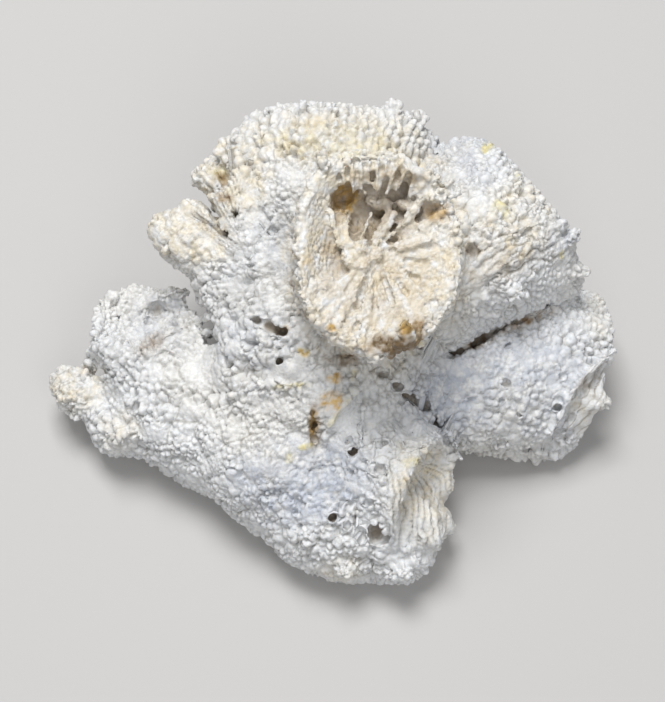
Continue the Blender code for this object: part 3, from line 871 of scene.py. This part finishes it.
class Crust:
    """What grows at each point of the body, and the marks its colours read."""

    def __init__(self, body, skin, shape, rng):
        self.body, self.shape, self.rng = body, shape, rng
        self.points = points_of(body)
        self.normals = normals_of(body)
        self.views = view_of(self.points)
        self.face = Face(body)
        self.count = len(self.points)
        self.rise = world_height(self.points)
        self.flat = self.rise < FLAT_REACH
        self.depth = np.zeros(self.count)  # under the skin of the solids
        for i, point in enumerate(self.points):
            place, normal, _, far = skin.tree.find_nearest(Vector(point))
            self.depth[i] = far if (place - Vector(point)).dot(normal) > 0 else 0.0
        self.in_cup = np.zeros(self.count, bool)
        for cup, deep in CUP_REACHES:
            rho, _, height = cup.local(self.points)
            self.in_cup |= (rho < 0.9) & (height > -deep) & (height < 1.5)
        # how deep a point lies in the centre cup; the colours read it as painted shade and brown
        rho, _, height = CENTRE.local(self.points)
        below = smoothstep(0.7, 2.6, centre_slope(rho) - height)
        self.cup_hollow = (rho < 0.95) * (height > -CENTRE_REACH) * below

    def near(self, x, y, reach_x, reach_y, turn=0.0, sharp=0.5):
        """Soft ellipse on the body about view (x, y)."""
        return self.face.mask(self.points, self.views, x, y, reach_x, reach_y, turn, sharp)

    def swelling(self, size, seed):
        return swell(self.points, size, seed)

    def warp(self, size, seeds):
        """A wavering of places, the same near one another."""
        return np.stack([self.swelling(size, seed) for seed in seeds], axis=1)

    def lay_zones(self):
        """Size, relief and lean of the beads, zone by zone."""
        self.spacing = self.shape.bead * (1 + 0.16 * self.swelling(9.0, 3))
        self.relief = 0.95 + 0.12 * self.swelling(11.0, 4)
        self.ratio = np.ones(self.count)
        self.axis = np.zeros_like(self.points)
        self.axis[:, 0] = 1.0
        for zone in ZONES:
            share = self.near(zone.x, zone.y, zone.reach_x, zone.reach_y, zone.turn, 0.4)
            self.spacing = mix(self.spacing, zone.spacing, share)
            self.relief = mix(self.relief, zone.relief, share)
            self.ratio = mix(self.ratio, zone.ratio, share)
            lean = math.radians(zone.lean)
            if zone.ratio > 1:
                self.axis[share > 0.3] = (math.cos(lean), math.sin(lean), 0.0)
        self.firm = np.clip(self.relief * 1.15, 0, 1) * smoothstep(FLAT_REACH, 3.0, self.rise)

    def lay_rows(self):
        """Rows of beads round the side cups' rims."""
        self.order = self.rng.uniform(0, 1, self.count)
        self.raised = np.zeros(self.count)
        self.groove = np.zeros(self.count)
        self.wavering = 0.2 * self.swelling(5.0, 71) + 0.12 * self.swelling(1.6, 72)
        for cup, rows, reach in ROWS:
            rho, angle, height = cup.local(self.points)
            share = smoothstep(-reach - 4, -reach + 1, height) * (1 - smoothstep(2, 4, height))
            share *= smoothstep(0.78, 0.88, rho) * (1 - smoothstep(1.4, 1.6, rho))
            off = crest(cup.round_share(angle) * rows + self.wavering)
            self.order = np.where(share > 0.3, self.order * 0.2 + off * 2.0 - 1.0, self.order)
            self.axis[share > 0.3] = cup.mouth
            self.ratio = mix(self.ratio, 1.1, share)
            self.spacing = mix(self.spacing, 0.9 * cup.girth / rows, share)
            self.relief = mix(self.relief, 1.05, share)
            self.firm *= 1 - 0.6 * share
            self.raised += share * 0.2 * cup.girth / rows * (np.sqrt(1 - np.minimum(off, 1) ** 2) - 0.6)
            self.groove = np.maximum(self.groove, 0.55 * share * smoothstep(0.72, 1.0, off))

    def lay_folds(self):
        """Fans of folds, with small beads on them."""
        for left, right, folds, high, beads in FANS:
            share, phase = folded(self.face, self.points, left, right, folds)
            off = crest(phase + self.wavering)
            fold = np.sqrt(1 - np.minimum(off, 1) ** 2) - 0.55
            self.raised = self.raised * (1 - share) + share * high * fold
            self.groove = np.maximum(self.groove * (1 - share), share * smoothstep(0.6, 0.95, off))
            self.spacing = mix(self.spacing, 0.8, share)
            self.relief = mix(self.relief, beads, share)
            self.firm *= 1 - 0.75 * share

    def calm_hollows(self):
        """Small low beads inside pits and cups."""
        hollow = smoothstep(0.35, 1.1, self.depth)
        self.spacing = mix(self.spacing, 0.85, hollow)
        self.relief = mix(self.relief, 0.7, hollow)
        self.firm *= 1 - hollow
        inside = self.in_cup
        self.spacing[inside] = 0.88
        self.relief[inside] = np.where(self.views[inside, 1] < TEETH_END, 0.25, 0.62)
        self.ratio[inside] = 1.0
        for field in (self.firm, self.raised, self.groove):
            field[inside] = 0
        off = np.einsum("ij,ij->i", self.axis, self.normals)[:, None] * self.normals
        self.axis = unit(self.axis - off + 1e-6)

    def gather_clusters(self):
        """Domes of many beads, parted by cracks."""
        warped = self.points + 0.55 * self.warp(3.5, (41, 42, 43))
        spread = self.shape.cluster * np.exp(self.rng.normal(0, 0.28, self.count))
        hubs = scattered(self.points, spread, self.rng.permutation(self.count)[: self.count // 8])
        self.hubs = self.points[hubs]
        upright = np.tile([0.0, 0.0, 1.0], (len(hubs), 1))
        even = np.ones(len(hubs))
        self.near_hubs, first, second = cells(warped, self.hubs, spread[hubs], upright, even, near=4)
        near_hub = self.near_hubs[:, 0]
        height = np.exp(self.rng.normal(0, 0.3, len(hubs)))[near_hub]
        dome = np.sqrt(np.maximum(0.0, 1 - (first / 0.75) ** 2))
        self.clusters = self.shape.cluster_relief * (dome - 0.55) * height * self.firm
        self.spacing *= np.exp(self.rng.normal(0, 0.16, len(hubs)))[near_hub]
        patchy = smoothstep(-0.4, 0.8, self.swelling(6.0, 44))
        self.cracks = (1 - smoothstep(0.0, 0.14, second - first)) * self.firm * patchy

    def gather_beads(self):
        """Rounded beads, closely packed."""
        self.spacing = np.clip(self.spacing * np.exp(self.rng.normal(0, 0.22, self.count)), 0.6, 2.6)
        order = np.argsort(self.order)
        chosen = scattered(self.points, self.spacing, order[~self.flat[order]])
        warp = self.warp(1.5, (51, 52, 53))
        warp += 0.5 * self.warp(0.8, (54, 55, 56))
        warped = self.points + 0.15 * warp * np.minimum(self.spacing, 1.4)[:, None]
        near_beads, first, second = cells(
            warped, self.points[chosen], self.spacing[chosen], self.axis[chosen], self.ratio[chosen]
        )
        near_bead = near_beads[:, 0]
        self.wall = second - first
        dome = np.sqrt(np.maximum(0.0, 1 - (first / 0.64) ** 2))
        size = self.spacing[chosen][near_bead]
        bead = size * self.shape.relief * (dome * mix(0.75, 1.0, smoothstep(0.0, 0.2, self.wall)) - 0.62)
        self.merged = np.clip(0.92 + 0.38 * self.swelling(3.2, 21), 0.35, 1.35)
        height = np.exp(self.rng.normal(0, 0.2, len(chosen)))[near_bead]
        self.beads = bead * self.relief * self.merged * height

    def lift_points(self):
        """Everything raised at once; what would sink under the floor is lifted back."""
        broad = 0.25 * self.swelling(12.0, 12) + 0.12 * self.swelling(2.2, 13)
        broad[self.in_cup] = 0
        lift = self.beads + self.clusters + self.raised + broad - 0.15
        lift *= smoothstep(FLAT_REACH, 1.2, self.rise)
        self.grown = self.points + self.normals * lift[:, None]
        self.grown[:, 2] += np.maximum(0, -world_height(self.grown)) / math.cos(FACE_LEAN)
        move_points(self.body, self.grown)

    def mark_colours(self):
        """How much of each stain, and of the painted shade, lies on each point."""
        # painted shade with some dust: darker between the beads, in cracks and grooves, in pits by their
        # depth and deep in the centre cup
        between = (1 - smoothstep(0.0, 0.36, self.wall)) * np.clip(self.merged, 0, 1)
        between *= np.clip(self.relief * 1.2, 0.15, 1)
        # painted shade: the deeper a point lies under the solids' skin, the darker
        sunk = np.where(self.in_cup, 0.0, smoothstep(0.9, 2.6, self.depth))
        for x, y, reach_x, reach_y, deep, *turn in PITS:
            if deep > THROUGH:
                sunk *= 1 - 0.85 * (apart(self.views, x, y, reach_x + 8, reach_y + 8, *turn) < 1)
        # brown in the hollows by their depth: real stain in part, and painted shade
        hollow_stain_and_shade = np.where(self.in_cup, 0.75 * smoothstep(1.2, 5.0, self.depth), 0.65 * sunk)
        rusty = smoothstep(-0.3, 0.9, swell(self.grown, 9.0, 33))
        clouded = smoothstep(0.2, 1.3, swell(self.grown, 26.0, 34))
        # marks laid everywhere: painted shade in hollows, grooves, cracks and between beads, with some real
        # stain and dust
        everywhere = {
            "brown_stain_and_shade": (hollow_stain_and_shade, 0.3 * self.groove * rusty, 0.55 * self.cup_hollow),
            "cream": (0.22 * clouded,),
            "crevice_shade_and_dust": (0.62 * between, 0.95 * self.cracks, 0.8 * self.groove, sunk, 0.4 * self.cup_hollow),
        }
        wobble = 1 + 0.35 * swell(self.grown, 2.2, 31) + 0.25 * swell(self.grown, 0.9, 32)
        for name, spots in STAINS_AND_SHADE.items():
            total = np.zeros(self.count)
            for x, y, reach_x, reach_y, share, *turn in spots:
                total = np.maximum(total, share * self.near(x, y, reach_x, reach_y, *turn))
            total = np.maximum.reduce([np.clip(total * wobble, 0, 1), *everywhere.get(name, ())])
            if name == "crevice_shade_and_dust":
                total[self.flat] = 0
            marked(self.body, name, total)

    def mark_branches(self):
        """Number of the CAD node each point goes with."""
        nodes = list(frame["nodes"])
        branch = branches_of(self.points, self.hubs, self.near_hubs)
        for x, y, reach_x, reach_y, deep, *turn in PITS:
            if deep < THROUGH:
                inside = self.near(x, y, 1.4 * reach_x + 6, 1.4 * reach_y + 6, *turn, sharp=0.1) > 0.5
                branch[inside] = np.bincount(branch[inside], minlength=1).argmax()
        for node, x, y, reach_x, reach_y, turn in OWNED:
            branch[self.near(x, y, reach_x, reach_y, turn, 0.05) > 0.5] = nodes.index(node)
        for line, above, below in SPLITS:
            spots = line_split(line, 80)
            along = np.gradient(spots, axis=0)
            tree = tree_of([self.face.seen(x, y) for x, y in spots])
            low, high = spots.min(axis=0) - 25, spots.max(axis=0) + 25
            for i in np.flatnonzero(np.all((self.views > low) & (self.views < high), axis=1)):
                _, j, far = tree.find(self.points[i])
                if far < SPLIT_REACH:
                    off = self.views[i] - spots[j]
                    over = along[j, 0] * off[1] < along[j, 1] * off[0]
                    branch[i] = nodes.index(above if over else below)
        marked(self.body, "branch", branch)


def branches_of(points, hubs, near_hubs):
    """Number of the CAD node each point belongs to: its cluster's, unless another is clearly nearer."""
    trees = []
    for source in frame["nodes"].values():
        twin = copied(source, "twin")
        twin.data.transform(GROWTH_MM.inverted())
        trees.append(Face(twin).tree)
        bpy.data.objects.remove(twin)
    gaps = np.array([[tree.find_nearest(Vector(spot))[3] for tree in trees] for spot in hubs])
    numbers = gaps.argmin(axis=1)[near_hubs]
    branch = numbers[:, 0].copy()
    for i in np.flatnonzero((numbers != numbers[:, :1]).any(axis=1)):
        spot = Vector(points[i])
        own = trees[branch[i]].find_nearest(spot)[3]
        for number in set(numbers[i]) - {branch[i]}:
            gap = trees[number].find_nearest(spot)[3]
            if gap < own - 0.7:
                own = gap + 0.7
                branch[i] = number
    return branch


def main_part_kept(obj):
    """Loose crumbs deleted: what isn't joined to the trunk goes."""
    start = np.linalg.norm(points_of(obj) - Face(obj).seen(*TRUNK_PLACE), axis=1).argmin()
    only(obj)
    bpy.ops.object.mode_set(mode="EDIT")
    bpy.ops.mesh.select_mode(type="VERT")
    bpy.ops.mesh.select_all(action="DESELECT")
    bpy.ops.object.mode_set(mode="OBJECT")
    obj.data.vertices[int(start)].select = True
    bpy.ops.object.mode_set(mode="EDIT")
    bpy.ops.mesh.select_linked()
    bpy.ops.mesh.select_all(action="INVERT")
    bpy.ops.mesh.delete(type="VERT")
    bpy.ops.object.mode_set(mode="OBJECT")


def closed(piece):
    """Each open rim of a piece drawn together at its own middle."""
    only(piece)
    bpy.ops.object.mode_set(mode="EDIT")
    bpy.ops.mesh.select_mode(type="EDGE")
    bpy.ops.mesh.select_all(action="DESELECT")
    bpy.ops.mesh.select_non_manifold(
        extend=False, use_wire=False, use_boundary=True,
        use_multi_face=False, use_non_contiguous=False, use_verts=False,
    )
    bpy.ops.mesh.mark_sharp()
    bpy.ops.mesh.extrude_edges_move()
    bpy.ops.object.mode_set(mode="OBJECT")
    rim = np.empty(len(piece.data.vertices), bool)
    piece.data.vertices.foreach_get("select", rim)
    ends = np.empty(2 * len(piece.data.edges), np.int32)
    piece.data.edges.foreach_get("vertices", ends)
    ends = ends.reshape(-1, 2)
    ends = ends[rim[ends].all(axis=1)]
    group = np.arange(len(rim))
    while (group[ends[:, 0]] != group[ends[:, 1]]).any():
        lowest = group[ends].min(axis=1)
        np.minimum.at(group, ends[:, 0], lowest)
        np.minimum.at(group, ends[:, 1], lowest)
        group = group[group]
    points = points_of(piece)
    for number in np.unique(group[rim]):
        members = rim & (group == number)
        points[members] = points[members].mean(axis=0)
    move_points(piece, points)
    bpy.ops.object.mode_set(mode="EDIT")
    bpy.ops.mesh.remove_doubles(threshold=1e-7)
    bpy.ops.mesh.select_mode(type="VERT")
    bpy.ops.mesh.select_all(action="SELECT")
    bpy.ops.mesh.normals_make_consistent(inside=False)
    bpy.ops.object.mode_set(mode="OBJECT")


# ---------------------------------------------------------------- settings

def size_property(name, description, size):
    return FloatProperty(name=name, description=description, default=size)


def count_property(name, description, count):
    return IntProperty(name=name, description=description, default=count, min=8)


def colour_property(name, description, colour):
    return FloatVectorProperty(name=name, description=description, default=colour, size=3, subtype="COLOR")


class CoralShape(bpy.types.PropertyGroup):
    """Sizes of the crust and the septa, in millimetres."""

    seed: IntProperty(name="Seed", description="Start of the random draws", default=7, min=0)
    coarse: size_property("Coarse skin", "Fineness at which the solids are fused", 0.8)
    middle: size_property("Cut skin", "Fineness at which the cups are cut", 0.4)
    fine: size_property("Fine skin", "Fineness of the finished crust", 0.333)
    overlap: size_property("Overlap", "How far the solids are swollen to meet", 0.2)
    bead: size_property("Bead spacing", "Mean distance between beads", 1.3)
    relief: size_property("Bead relief", "Height of the beads over their size", 0.68)
    cluster: size_property("Cluster spacing", "Mean distance between bead clusters", 4.2)
    cluster_relief: size_property("Cluster relief", "Height of the clusters", 0.95)
    centre_septa: count_property("Centre septa", "Radial plates in the centre cup", 36)
    side_septa: count_property("Side septa", "Radial plates in the top cup; the others have their share", 44)


class CoralColours(bpy.types.PropertyGroup):
    """Colours of the chalcedony, its stains, its painted shade and glints, and the stage."""

    white: colour_property("White", "Plain crust", (0.70, 0.708, 0.715))
    # blue: bluish chalcedony, darkened to stand for shade on the lower parts as well
    blue: colour_property("Blue", "Bluish chalcedony", (0.50, 0.53, 0.59))
    cream: colour_property("Cream", "Sugary quartz of the cups", (0.72, 0.645, 0.50))
    # frost: paler grains and painted glints
    frost_and_glint: colour_property("Frost", "Paler grains", (0.78, 0.78, 0.77))
    # brown: real stain in part, and painted shade in hollows, grooves and under overhangs
    brown_stain_and_shade: colour_property("Brown", "Hollows and grooves", (0.29, 0.195, 0.1))
    ochre: colour_property("Ochre", "Iron stains", (0.64, 0.42, 0.14))
    straw: colour_property("Straw", "Pale yellow grains", (0.70, 0.63, 0.36))
    # crevice colour: multiplied in as some dust between the beads and, mostly, as painted shade in creases,
    # cracks, pits and under overhangs
    crevice_shade_and_dust: colour_property("Crevice", "Dust between the beads", (0.44, 0.415, 0.37))
    floor: colour_property("Floor", "Stage floor", (0.5, 0.49, 0.48))


class CoralStage(bpy.types.PropertyGroup):
    """Lights and camera."""

    key: FloatProperty(name="Key", description="Power of the main light", default=9.3, subtype="POWER")
    fill: FloatProperty(name="Fill", description="Power of the fill light", default=2.9, subtype="POWER")
    sky: FloatProperty(name="Sky", description="Strength of the light all round", default=0.3)
    lens: FloatProperty(name="Lens", description="Focal length in millimetres", default=101.6)


# ---------------------------------------------------------------- shaders

class Value:
    """A shader socket that takes sums and products."""

    def __init__(self, recipe, socket):
        self.recipe = recipe
        self.socket = socket

    def maths(self, operation, first, second):
        return self.recipe.node("ShaderNodeMath", {"operation": operation}, {0: first, 1: second})

    def __add__(self, other):
        return self.maths("ADD", self, other)

    def __sub__(self, other):
        return self.maths("SUBTRACT", self, other)

    def __mul__(self, other):
        return self.maths("MULTIPLY", self, other)

    def __rsub__(self, other):
        return self.maths("SUBTRACT", other, self)

    __radd__ = __add__
    __rmul__ = __mul__


class Recipe:
    """A material and the nodes that make it."""

    def __init__(self, name):
        self.material = bpy.data.materials.new(name)
        self.material.use_nodes = True
        self.tree = self.material.node_tree
        self.shader = self.tree.nodes["Principled BSDF"]

    def fill(self, sockets, inputs):
        for key, value in inputs.items():
            if isinstance(value, Value):
                self.tree.links.new(value.socket, sockets[key])
            elif hasattr(value, "__len__"):
                missing = len(sockets[key].default_value) - len(value)
                sockets[key].default_value = (*value, *[1.0] * missing)
            else:
                sockets[key].default_value = value

    def node(self, kind, settings=None, inputs=None, output=0):
        """Any node: its settings first, then its sockets' values and links."""
        node = self.tree.nodes.new(kind)
        for key, value in (settings or {}).items():
            setattr(node, key, value)
        self.fill(node.inputs, inputs or {})
        return Value(self, node.outputs[output])

    def mark(self, name):
        """A piece's own attribute."""
        return self.node("ShaderNodeAttribute", {"attribute_name": name}, output="Fac")

    def blend(self, first, second, share, kind="MIX"):
        settings = {"data_type": "RGBA", "blend_type": kind}
        return self.node("ShaderNodeMix", settings, {6: first, 7: second, 0: share}, output=2)

    def noise(self, place, scale, detail=3.0):
        return self.node("ShaderNodeTexNoise", inputs={"Vector": place, "Scale": scale, "Detail": detail})

    def ranged(self, value, low, high, start=0.0, end=1.0):
        return self.node("ShaderNodeMapRange", inputs={0: value, 1: low, 2: high, 3: start, 4: end})


def crust_material(name):
    """Sugary chalcedony: white to blue and cream, with paler grains and painted glints, stained and painted
    with shade in the hollows.
    """
    colours = bpy.context.scene.coral_colours
    r = Recipe(name)
    place = r.node("ShaderNodeTexCoord", output="Object")
    clouds = r.noise(place, 90.0, 4.0)
    grains = r.noise(place, 620.0, 4.0)
    # blue: real bluish tone in part, and painted shade on the lower parts
    colour = r.blend(colours.white, colours.blue, r.mark("blue"))
    colour = r.blend(colour, colours.cream, r.mark("cream") * r.ranged(clouds, 0.35, 0.6, 0.55, 1.0))
    # painted glints and paler grains: pale specks laid by a fine noise
    colour = r.blend(colour, colours.frost_and_glint, r.ranged(grains, 0.5, 0.68, 0.0, 0.7))
    colour = r.blend(colour, colours.straw, r.mark("straw") * r.ranged(grains, 0.4, 0.6, 0.35, 1.0))
    # brown: stain, and painted shade in the hollows
    colour = r.blend(colour, colours.brown_stain_and_shade, r.mark("brown_stain_and_shade") * r.ranged(grains, 0.3, 0.6, 0.75, 1.0))
    colour = r.blend(colour, colours.ochre, r.mark("ochre") * r.ranged(grains, 0.35, 0.6, 0.4, 1.0))
    # painted shade with some dust: the crevice mark darkens creases, cracks, pits and undersides
    dust_and_shade = r.mark("crevice_shade_and_dust") * r.ranged(clouds, 0.35, 0.6, 0.45, 1.0)
    colour = r.blend(colour, colours.crevice_shade_and_dust, dust_and_shade, "MULTIPLY")
    speck = r.node("ShaderNodeTexVoronoi", inputs={"Vector": place, "Scale": 1750.0, "Randomness": 1.0})
    height = (1.0 - speck) * 0.6 + r.noise(place, 3600.0, 3.0) * 0.4
    bump = r.node("ShaderNodeBump", inputs={"Strength": 0.55, "Distance": 0.00032, "Height": height})
    r.fill(r.shader.inputs, {
        "Base Color": colour,
        "Normal": bump,
        "Roughness": 0.46,
        "Subsurface Weight": 0.2,
        "Subsurface Radius": (1.0, 0.85, 0.7),
        "Subsurface Scale": 0.0009,
    })
    return r.material


# ---------------------------------------------------------------- operators

def draws(step):
    """Random draws for one operator."""
    return np.random.default_rng(bpy.context.scene.coral_shape.seed + step)


def piece_named(name):
    obj = bpy.data.objects.get(name)
    if obj is None:
        raise RuntimeError(f"{name} is made by an earlier step")
    return obj


class CORAL_OT_skin(bpy.types.Operator):
    """Fuse the solids and their outer lumps into one skin."""

    bl_idname = "coral.skin"
    bl_label = "Skin"

    def execute(self, context):
        shape = context.scene.coral_shape
        copies = []
        for source in frame["nodes"].values():
            obj = copied(source, "copy")
            obj.data.transform(GROWTH_MM.inverted())
            obj.data.materials.clear()
            only(obj)
            bpy.ops.object.mode_set(mode="EDIT")
            bpy.ops.mesh.select_all(action="SELECT")
            bpy.ops.mesh.remove_doubles(threshold=0.001)
            bpy.ops.object.mode_set(mode="OBJECT")
            move_points(obj, points_of(obj) + normals_of(obj) * shape.overlap)
            copies.append(obj)
        skin = joined(copies, "bare skin")
        voxelled(skin, shape.coarse)
        face = Face(skin)
        lumps = []
        for x, y, reach_x, reach_y, depth, sink, *turn in LUMPS:
            lumps.append(pit(face.seen(x, y, sink), x, y, reach_x, reach_y, depth, *turn))
        skin = joined(lumps + [skin], "skin")
        voxelled(skin, shape.coarse)
        softened(skin, 4)
        return {"FINISHED"}


class CORAL_OT_growths(bpy.types.Operator):
    """Ridges, nubs and knobs that stand out of the skin."""

    bl_idname = "coral.growths"
    bl_label = "Ridges and knobs"

    def execute(self, context):
        rng = draws(1)
        face = Face(piece_named("skin"))
        rods = []
        for line in RIDGES:
            rods.append(rod(laid(face, line), [radius for _, _, radius, _ in line], rng))
        for x, y, across, down, foot, tip in NUBS:
            base = face.seen(x, y, 0.5)
            rods.append(rod([base, base + np.array([across, -down, 0.0]) * STEP], [foot, tip], rng))
        added = [tubes(rods, "rods")]
        for x, y, reach_x, reach_y, sink in KNOBS:
            added.append(pit(face.seen(x, y, sink), x, y, reach_x, reach_y, (reach_x + reach_y) / 2 * STEP))
        joined(added, "growths")
        return {"FINISHED"}


class CORAL_OT_hollows(bpy.types.Operator):
    """Cutter for the cups, pits and grooves."""

    bl_idname = "coral.hollows"
    bl_label = "Cups and hollows"

    def execute(self, context):
        rng = draws(2)
        face = Face(piece_named("skin"))
        cutters = [bowl(CENTRE, centre_floor, centre_edge)]
        for x, y, reach_x, reach_y, height, depth, *turn in CENTRE_POCKETS:
            cutters.append(pit(CENTRE.seen(x, y, height), x, y, reach_x, reach_y, depth, *turn))
        for cup, depth in SIDE_CUPS:
            cutters.append(bowl(cup, side_floor(depth), lambda angle: SIDE_EDGE + 0 * angle))
        for x, y, reach_x, reach_y, depth, *turn in PITS:
            cutters.append(pit(face.seen(x, y), x, y, reach_x, reach_y, depth, *turn))
        rods = []
        for line in GROOVES:
            radii = [1.2 * radius + 0.1 for _, _, radius in line]
            rods.append(rod(laid(face, [(*spot, 0.0) for spot in line]), radii, rng))
        for line in CRACKS:
            for sink, share in CRACK_LAYERS:
                radii = [share * radius for _, _, radius in line]
                rods.append(rod(laid(face, [(x, y, 0.0, sink) for x, y, _ in line]), radii, rng))
        cutters.append(tubes(rods, "grooves"))
        cutter = voxelled(joined(cutters, "hollows"), CUTTER_FINENESS)
        spots = points_of(cutter)
        rough = 0.26 * swell(spots, 1.3, 61) + 0.24 * swell(spots, 3.2, 62)
        move_points(cutter, spots + normals_of(cutter) * rough[:, None])
        voxelled(cutter, CUTTER_FINENESS)
        return {"FINISHED"}


class CORAL_OT_septa(bpy.types.Operator):
    """Radial septa, teeth and columella of the cups."""

    bl_idname = "coral.septa"
    bl_label = "Septa"

    def execute(self, context):
        shape = context.scene.coral_shape
        rng = draws(3)
        blank = plate_blank()
        parts = centre_septa(blank, rng, shape.centre_septa)
        for cup, depth in SIDE_CUPS:
            parts += side_septa(blank, cup, rng, round(shape.side_septa * cup.girth / TOP.girth), depth)
        bpy.data.objects.remove(blank)
        face = Face(piece_named("skin"))
        rods = [rod(laid(face, line), [radius for _, _, radius, _ in line], rng) for line in BARS]
        parts.append(tubes(rods, "bars"))
        joined(parts, "septa")
        return {"FINISHED"}


class CORAL_OT_crust(bpy.types.Operator):
    """Fuse everything, cut the hollows and grow the beads."""

    bl_idname = "coral.crust"
    bl_label = "Beaded crust"

    def execute(self, context):
        shape = context.scene.coral_shape
        skin = Face(piece_named("skin"))
        body = joined([piece_named("growths"), copied(piece_named("skin"), "body")], "body")
        voxelled(body, shape.middle)
        carved(body, piece_named("hollows"))
        body = joined([piece_named("septa"), body], "body")
        body.data.materials.clear()
        voxelled(body, shape.fine)
        softened(body, 1)
        main_part_kept(body)
        crust = Crust(body, skin, shape, draws(4))
        crust.lay_zones()
        crust.lay_rows()
        crust.lay_folds()
        crust.calm_hollows()
        crust.gather_clusters()
        crust.gather_beads()
        crust.lift_points()
        crust.mark_colours()
        crust.mark_branches()
        return {"FINISHED"}


class CORAL_OT_branches(bpy.types.Operator):
    """Part the crust into its branches, each with its slot."""

    bl_idname = "coral.branches"
    bl_label = "Branches"

    def execute(self, context):
        body = piece_named("body")
        body.data.transform(GROWTH_MM)
        slots = ("white_crust", "cream_crust")
        materials = {slot: crust_material(slot.replace("_", " ")) for slot in slots}
        nodes = list(frame["nodes"])
        body.data.materials.clear()
        for node in nodes:
            body.data.materials.append(materials[SLOTS.get(node, "cream_crust")])
        branch = np.empty(len(body.data.vertices), np.float32)
        body.data.attributes["branch"].data.foreach_get("value", branch)
        first = np.empty(len(body.data.polygons), np.int32)
        body.data.polygons.foreach_get("loop_start", first)
        corner = np.empty(len(body.data.loops), np.int32)
        body.data.loops.foreach_get("vertex_index", corner)
        body.data.polygons.foreach_set("material_index", branch[corner[first]].astype(np.int32))
        body.data.shade_smooth()
        only(body)
        bpy.ops.object.mode_set(mode="EDIT")
        bpy.ops.mesh.separate(type="MATERIAL")
        bpy.ops.object.mode_set(mode="OBJECT")
        for piece in list(bpy.context.selected_objects):
            index = np.empty(len(piece.data.vertices), np.float32)
            piece.data.attributes["branch"].data.foreach_get("value", index)
            node = nodes[int(np.median(index))]
            closed(piece)
            piece.name = node + "_crust"
            slot = SLOTS.get(node, "cream_crust")
            piece.data.materials.clear()
            piece.data.materials.append(materials[slot])
            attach(piece, "root")
            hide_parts(node)
        bpy.data.objects.remove(piece_named("skin"))
        return {"FINISHED"}


class CORAL_OT_stage(bpy.types.Operator):
    """Floor, lights, sky and camera."""

    bl_idname = "coral.stage"
    bl_label = "Stage"

    def execute(self, context):
        stage = context.scene.coral_stage
        bpy.ops.object.select_all(action="DESELECT")
        bpy.ops.mesh.primitive_plane_add(size=3)
        floor = bpy.context.object
        floor.name = "floor"
        finish = Recipe("floor")
        colour = context.scene.coral_colours.floor
        finish.fill(finish.shader.inputs, {"Base Color": colour, "Roughness": 0.7})
        floor.data.materials.append(finish.material)
        for name, place, size, power in (
            ("key", (-0.12, 0.30, 0.95), 0.45, stage.key),
            ("fill", (0.15, -0.65, 0.75), 0.7, stage.fill),
        ):
            bpy.ops.object.light_add(type="AREA", location=place)
            lamp = bpy.context.object
            lamp.name = name
            lamp.data.size = size
            lamp.data.energy = power
            aim = Vector((0, 0, 0.03)) - Vector(place)
            lamp.rotation_euler = aim.to_track_quat("-Z", "Y").to_euler()
        bpy.ops.object.camera_add()
        camera = bpy.context.object
        camera.data.lens = stage.lens
        camera.matrix_world = GROWTH @ Matrix.Translation((0, 0, EYE[2] * MM))
        context.scene.camera = camera
        world = bpy.data.worlds.new("studio")
        context.scene.world = world
        world.use_nodes = True
        sky = world.node_tree.nodes["Background"]
        sky.inputs["Color"].default_value = (0.95, 0.97, 1.0, 1.0)
        sky.inputs["Strength"].default_value = stage.sky
        context.scene.view_settings.view_transform = "Standard"
        return {"FINISHED"}


STEPS = (
    CORAL_OT_skin, CORAL_OT_growths, CORAL_OT_hollows, CORAL_OT_septa, CORAL_OT_crust, CORAL_OT_branches,
    CORAL_OT_stage,
)


class CORAL_PT_panel(bpy.types.Panel):
    """The steps and the settings."""

    bl_idname = "CORAL_PT_panel"
    bl_label = "Fossil coral head"
    bl_space_type = "VIEW_3D"
    bl_region_type = "UI"
    bl_category = "Coral"

    def draw(self, context):
        for step in STEPS:
            self.layout.operator(step.bl_idname)
        for settings in (context.scene.coral_shape, context.scene.coral_colours, context.scene.coral_stage):
            box = self.layout.box()
            for name in settings.__annotations__:
                box.prop(settings, name)


SETTINGS = {"coral_shape": CoralShape, "coral_colours": CoralColours, "coral_stage": CoralStage}


def register():
    for kind in (*SETTINGS.values(), *STEPS, CORAL_PT_panel):
        bpy.utils.register_class(kind)
    for name, kind in SETTINGS.items():
        setattr(bpy.types.Scene, name, PointerProperty(type=kind))


def unregister():
    for name in SETTINGS:
        delattr(bpy.types.Scene, name)
    for kind in reversed((*SETTINGS.values(), *STEPS, CORAL_PT_panel)):
        bpy.utils.unregister_class(kind)


def main():
    """Every step in order."""
    register()
    bpy.ops.coral.skin()
    bpy.ops.coral.growths()
    bpy.ops.coral.hollows()
    bpy.ops.coral.septa()
    bpy.ops.coral.crust()
    bpy.ops.coral.branches()
    bpy.ops.coral.stage()


if __name__ == "__main__":
    main()
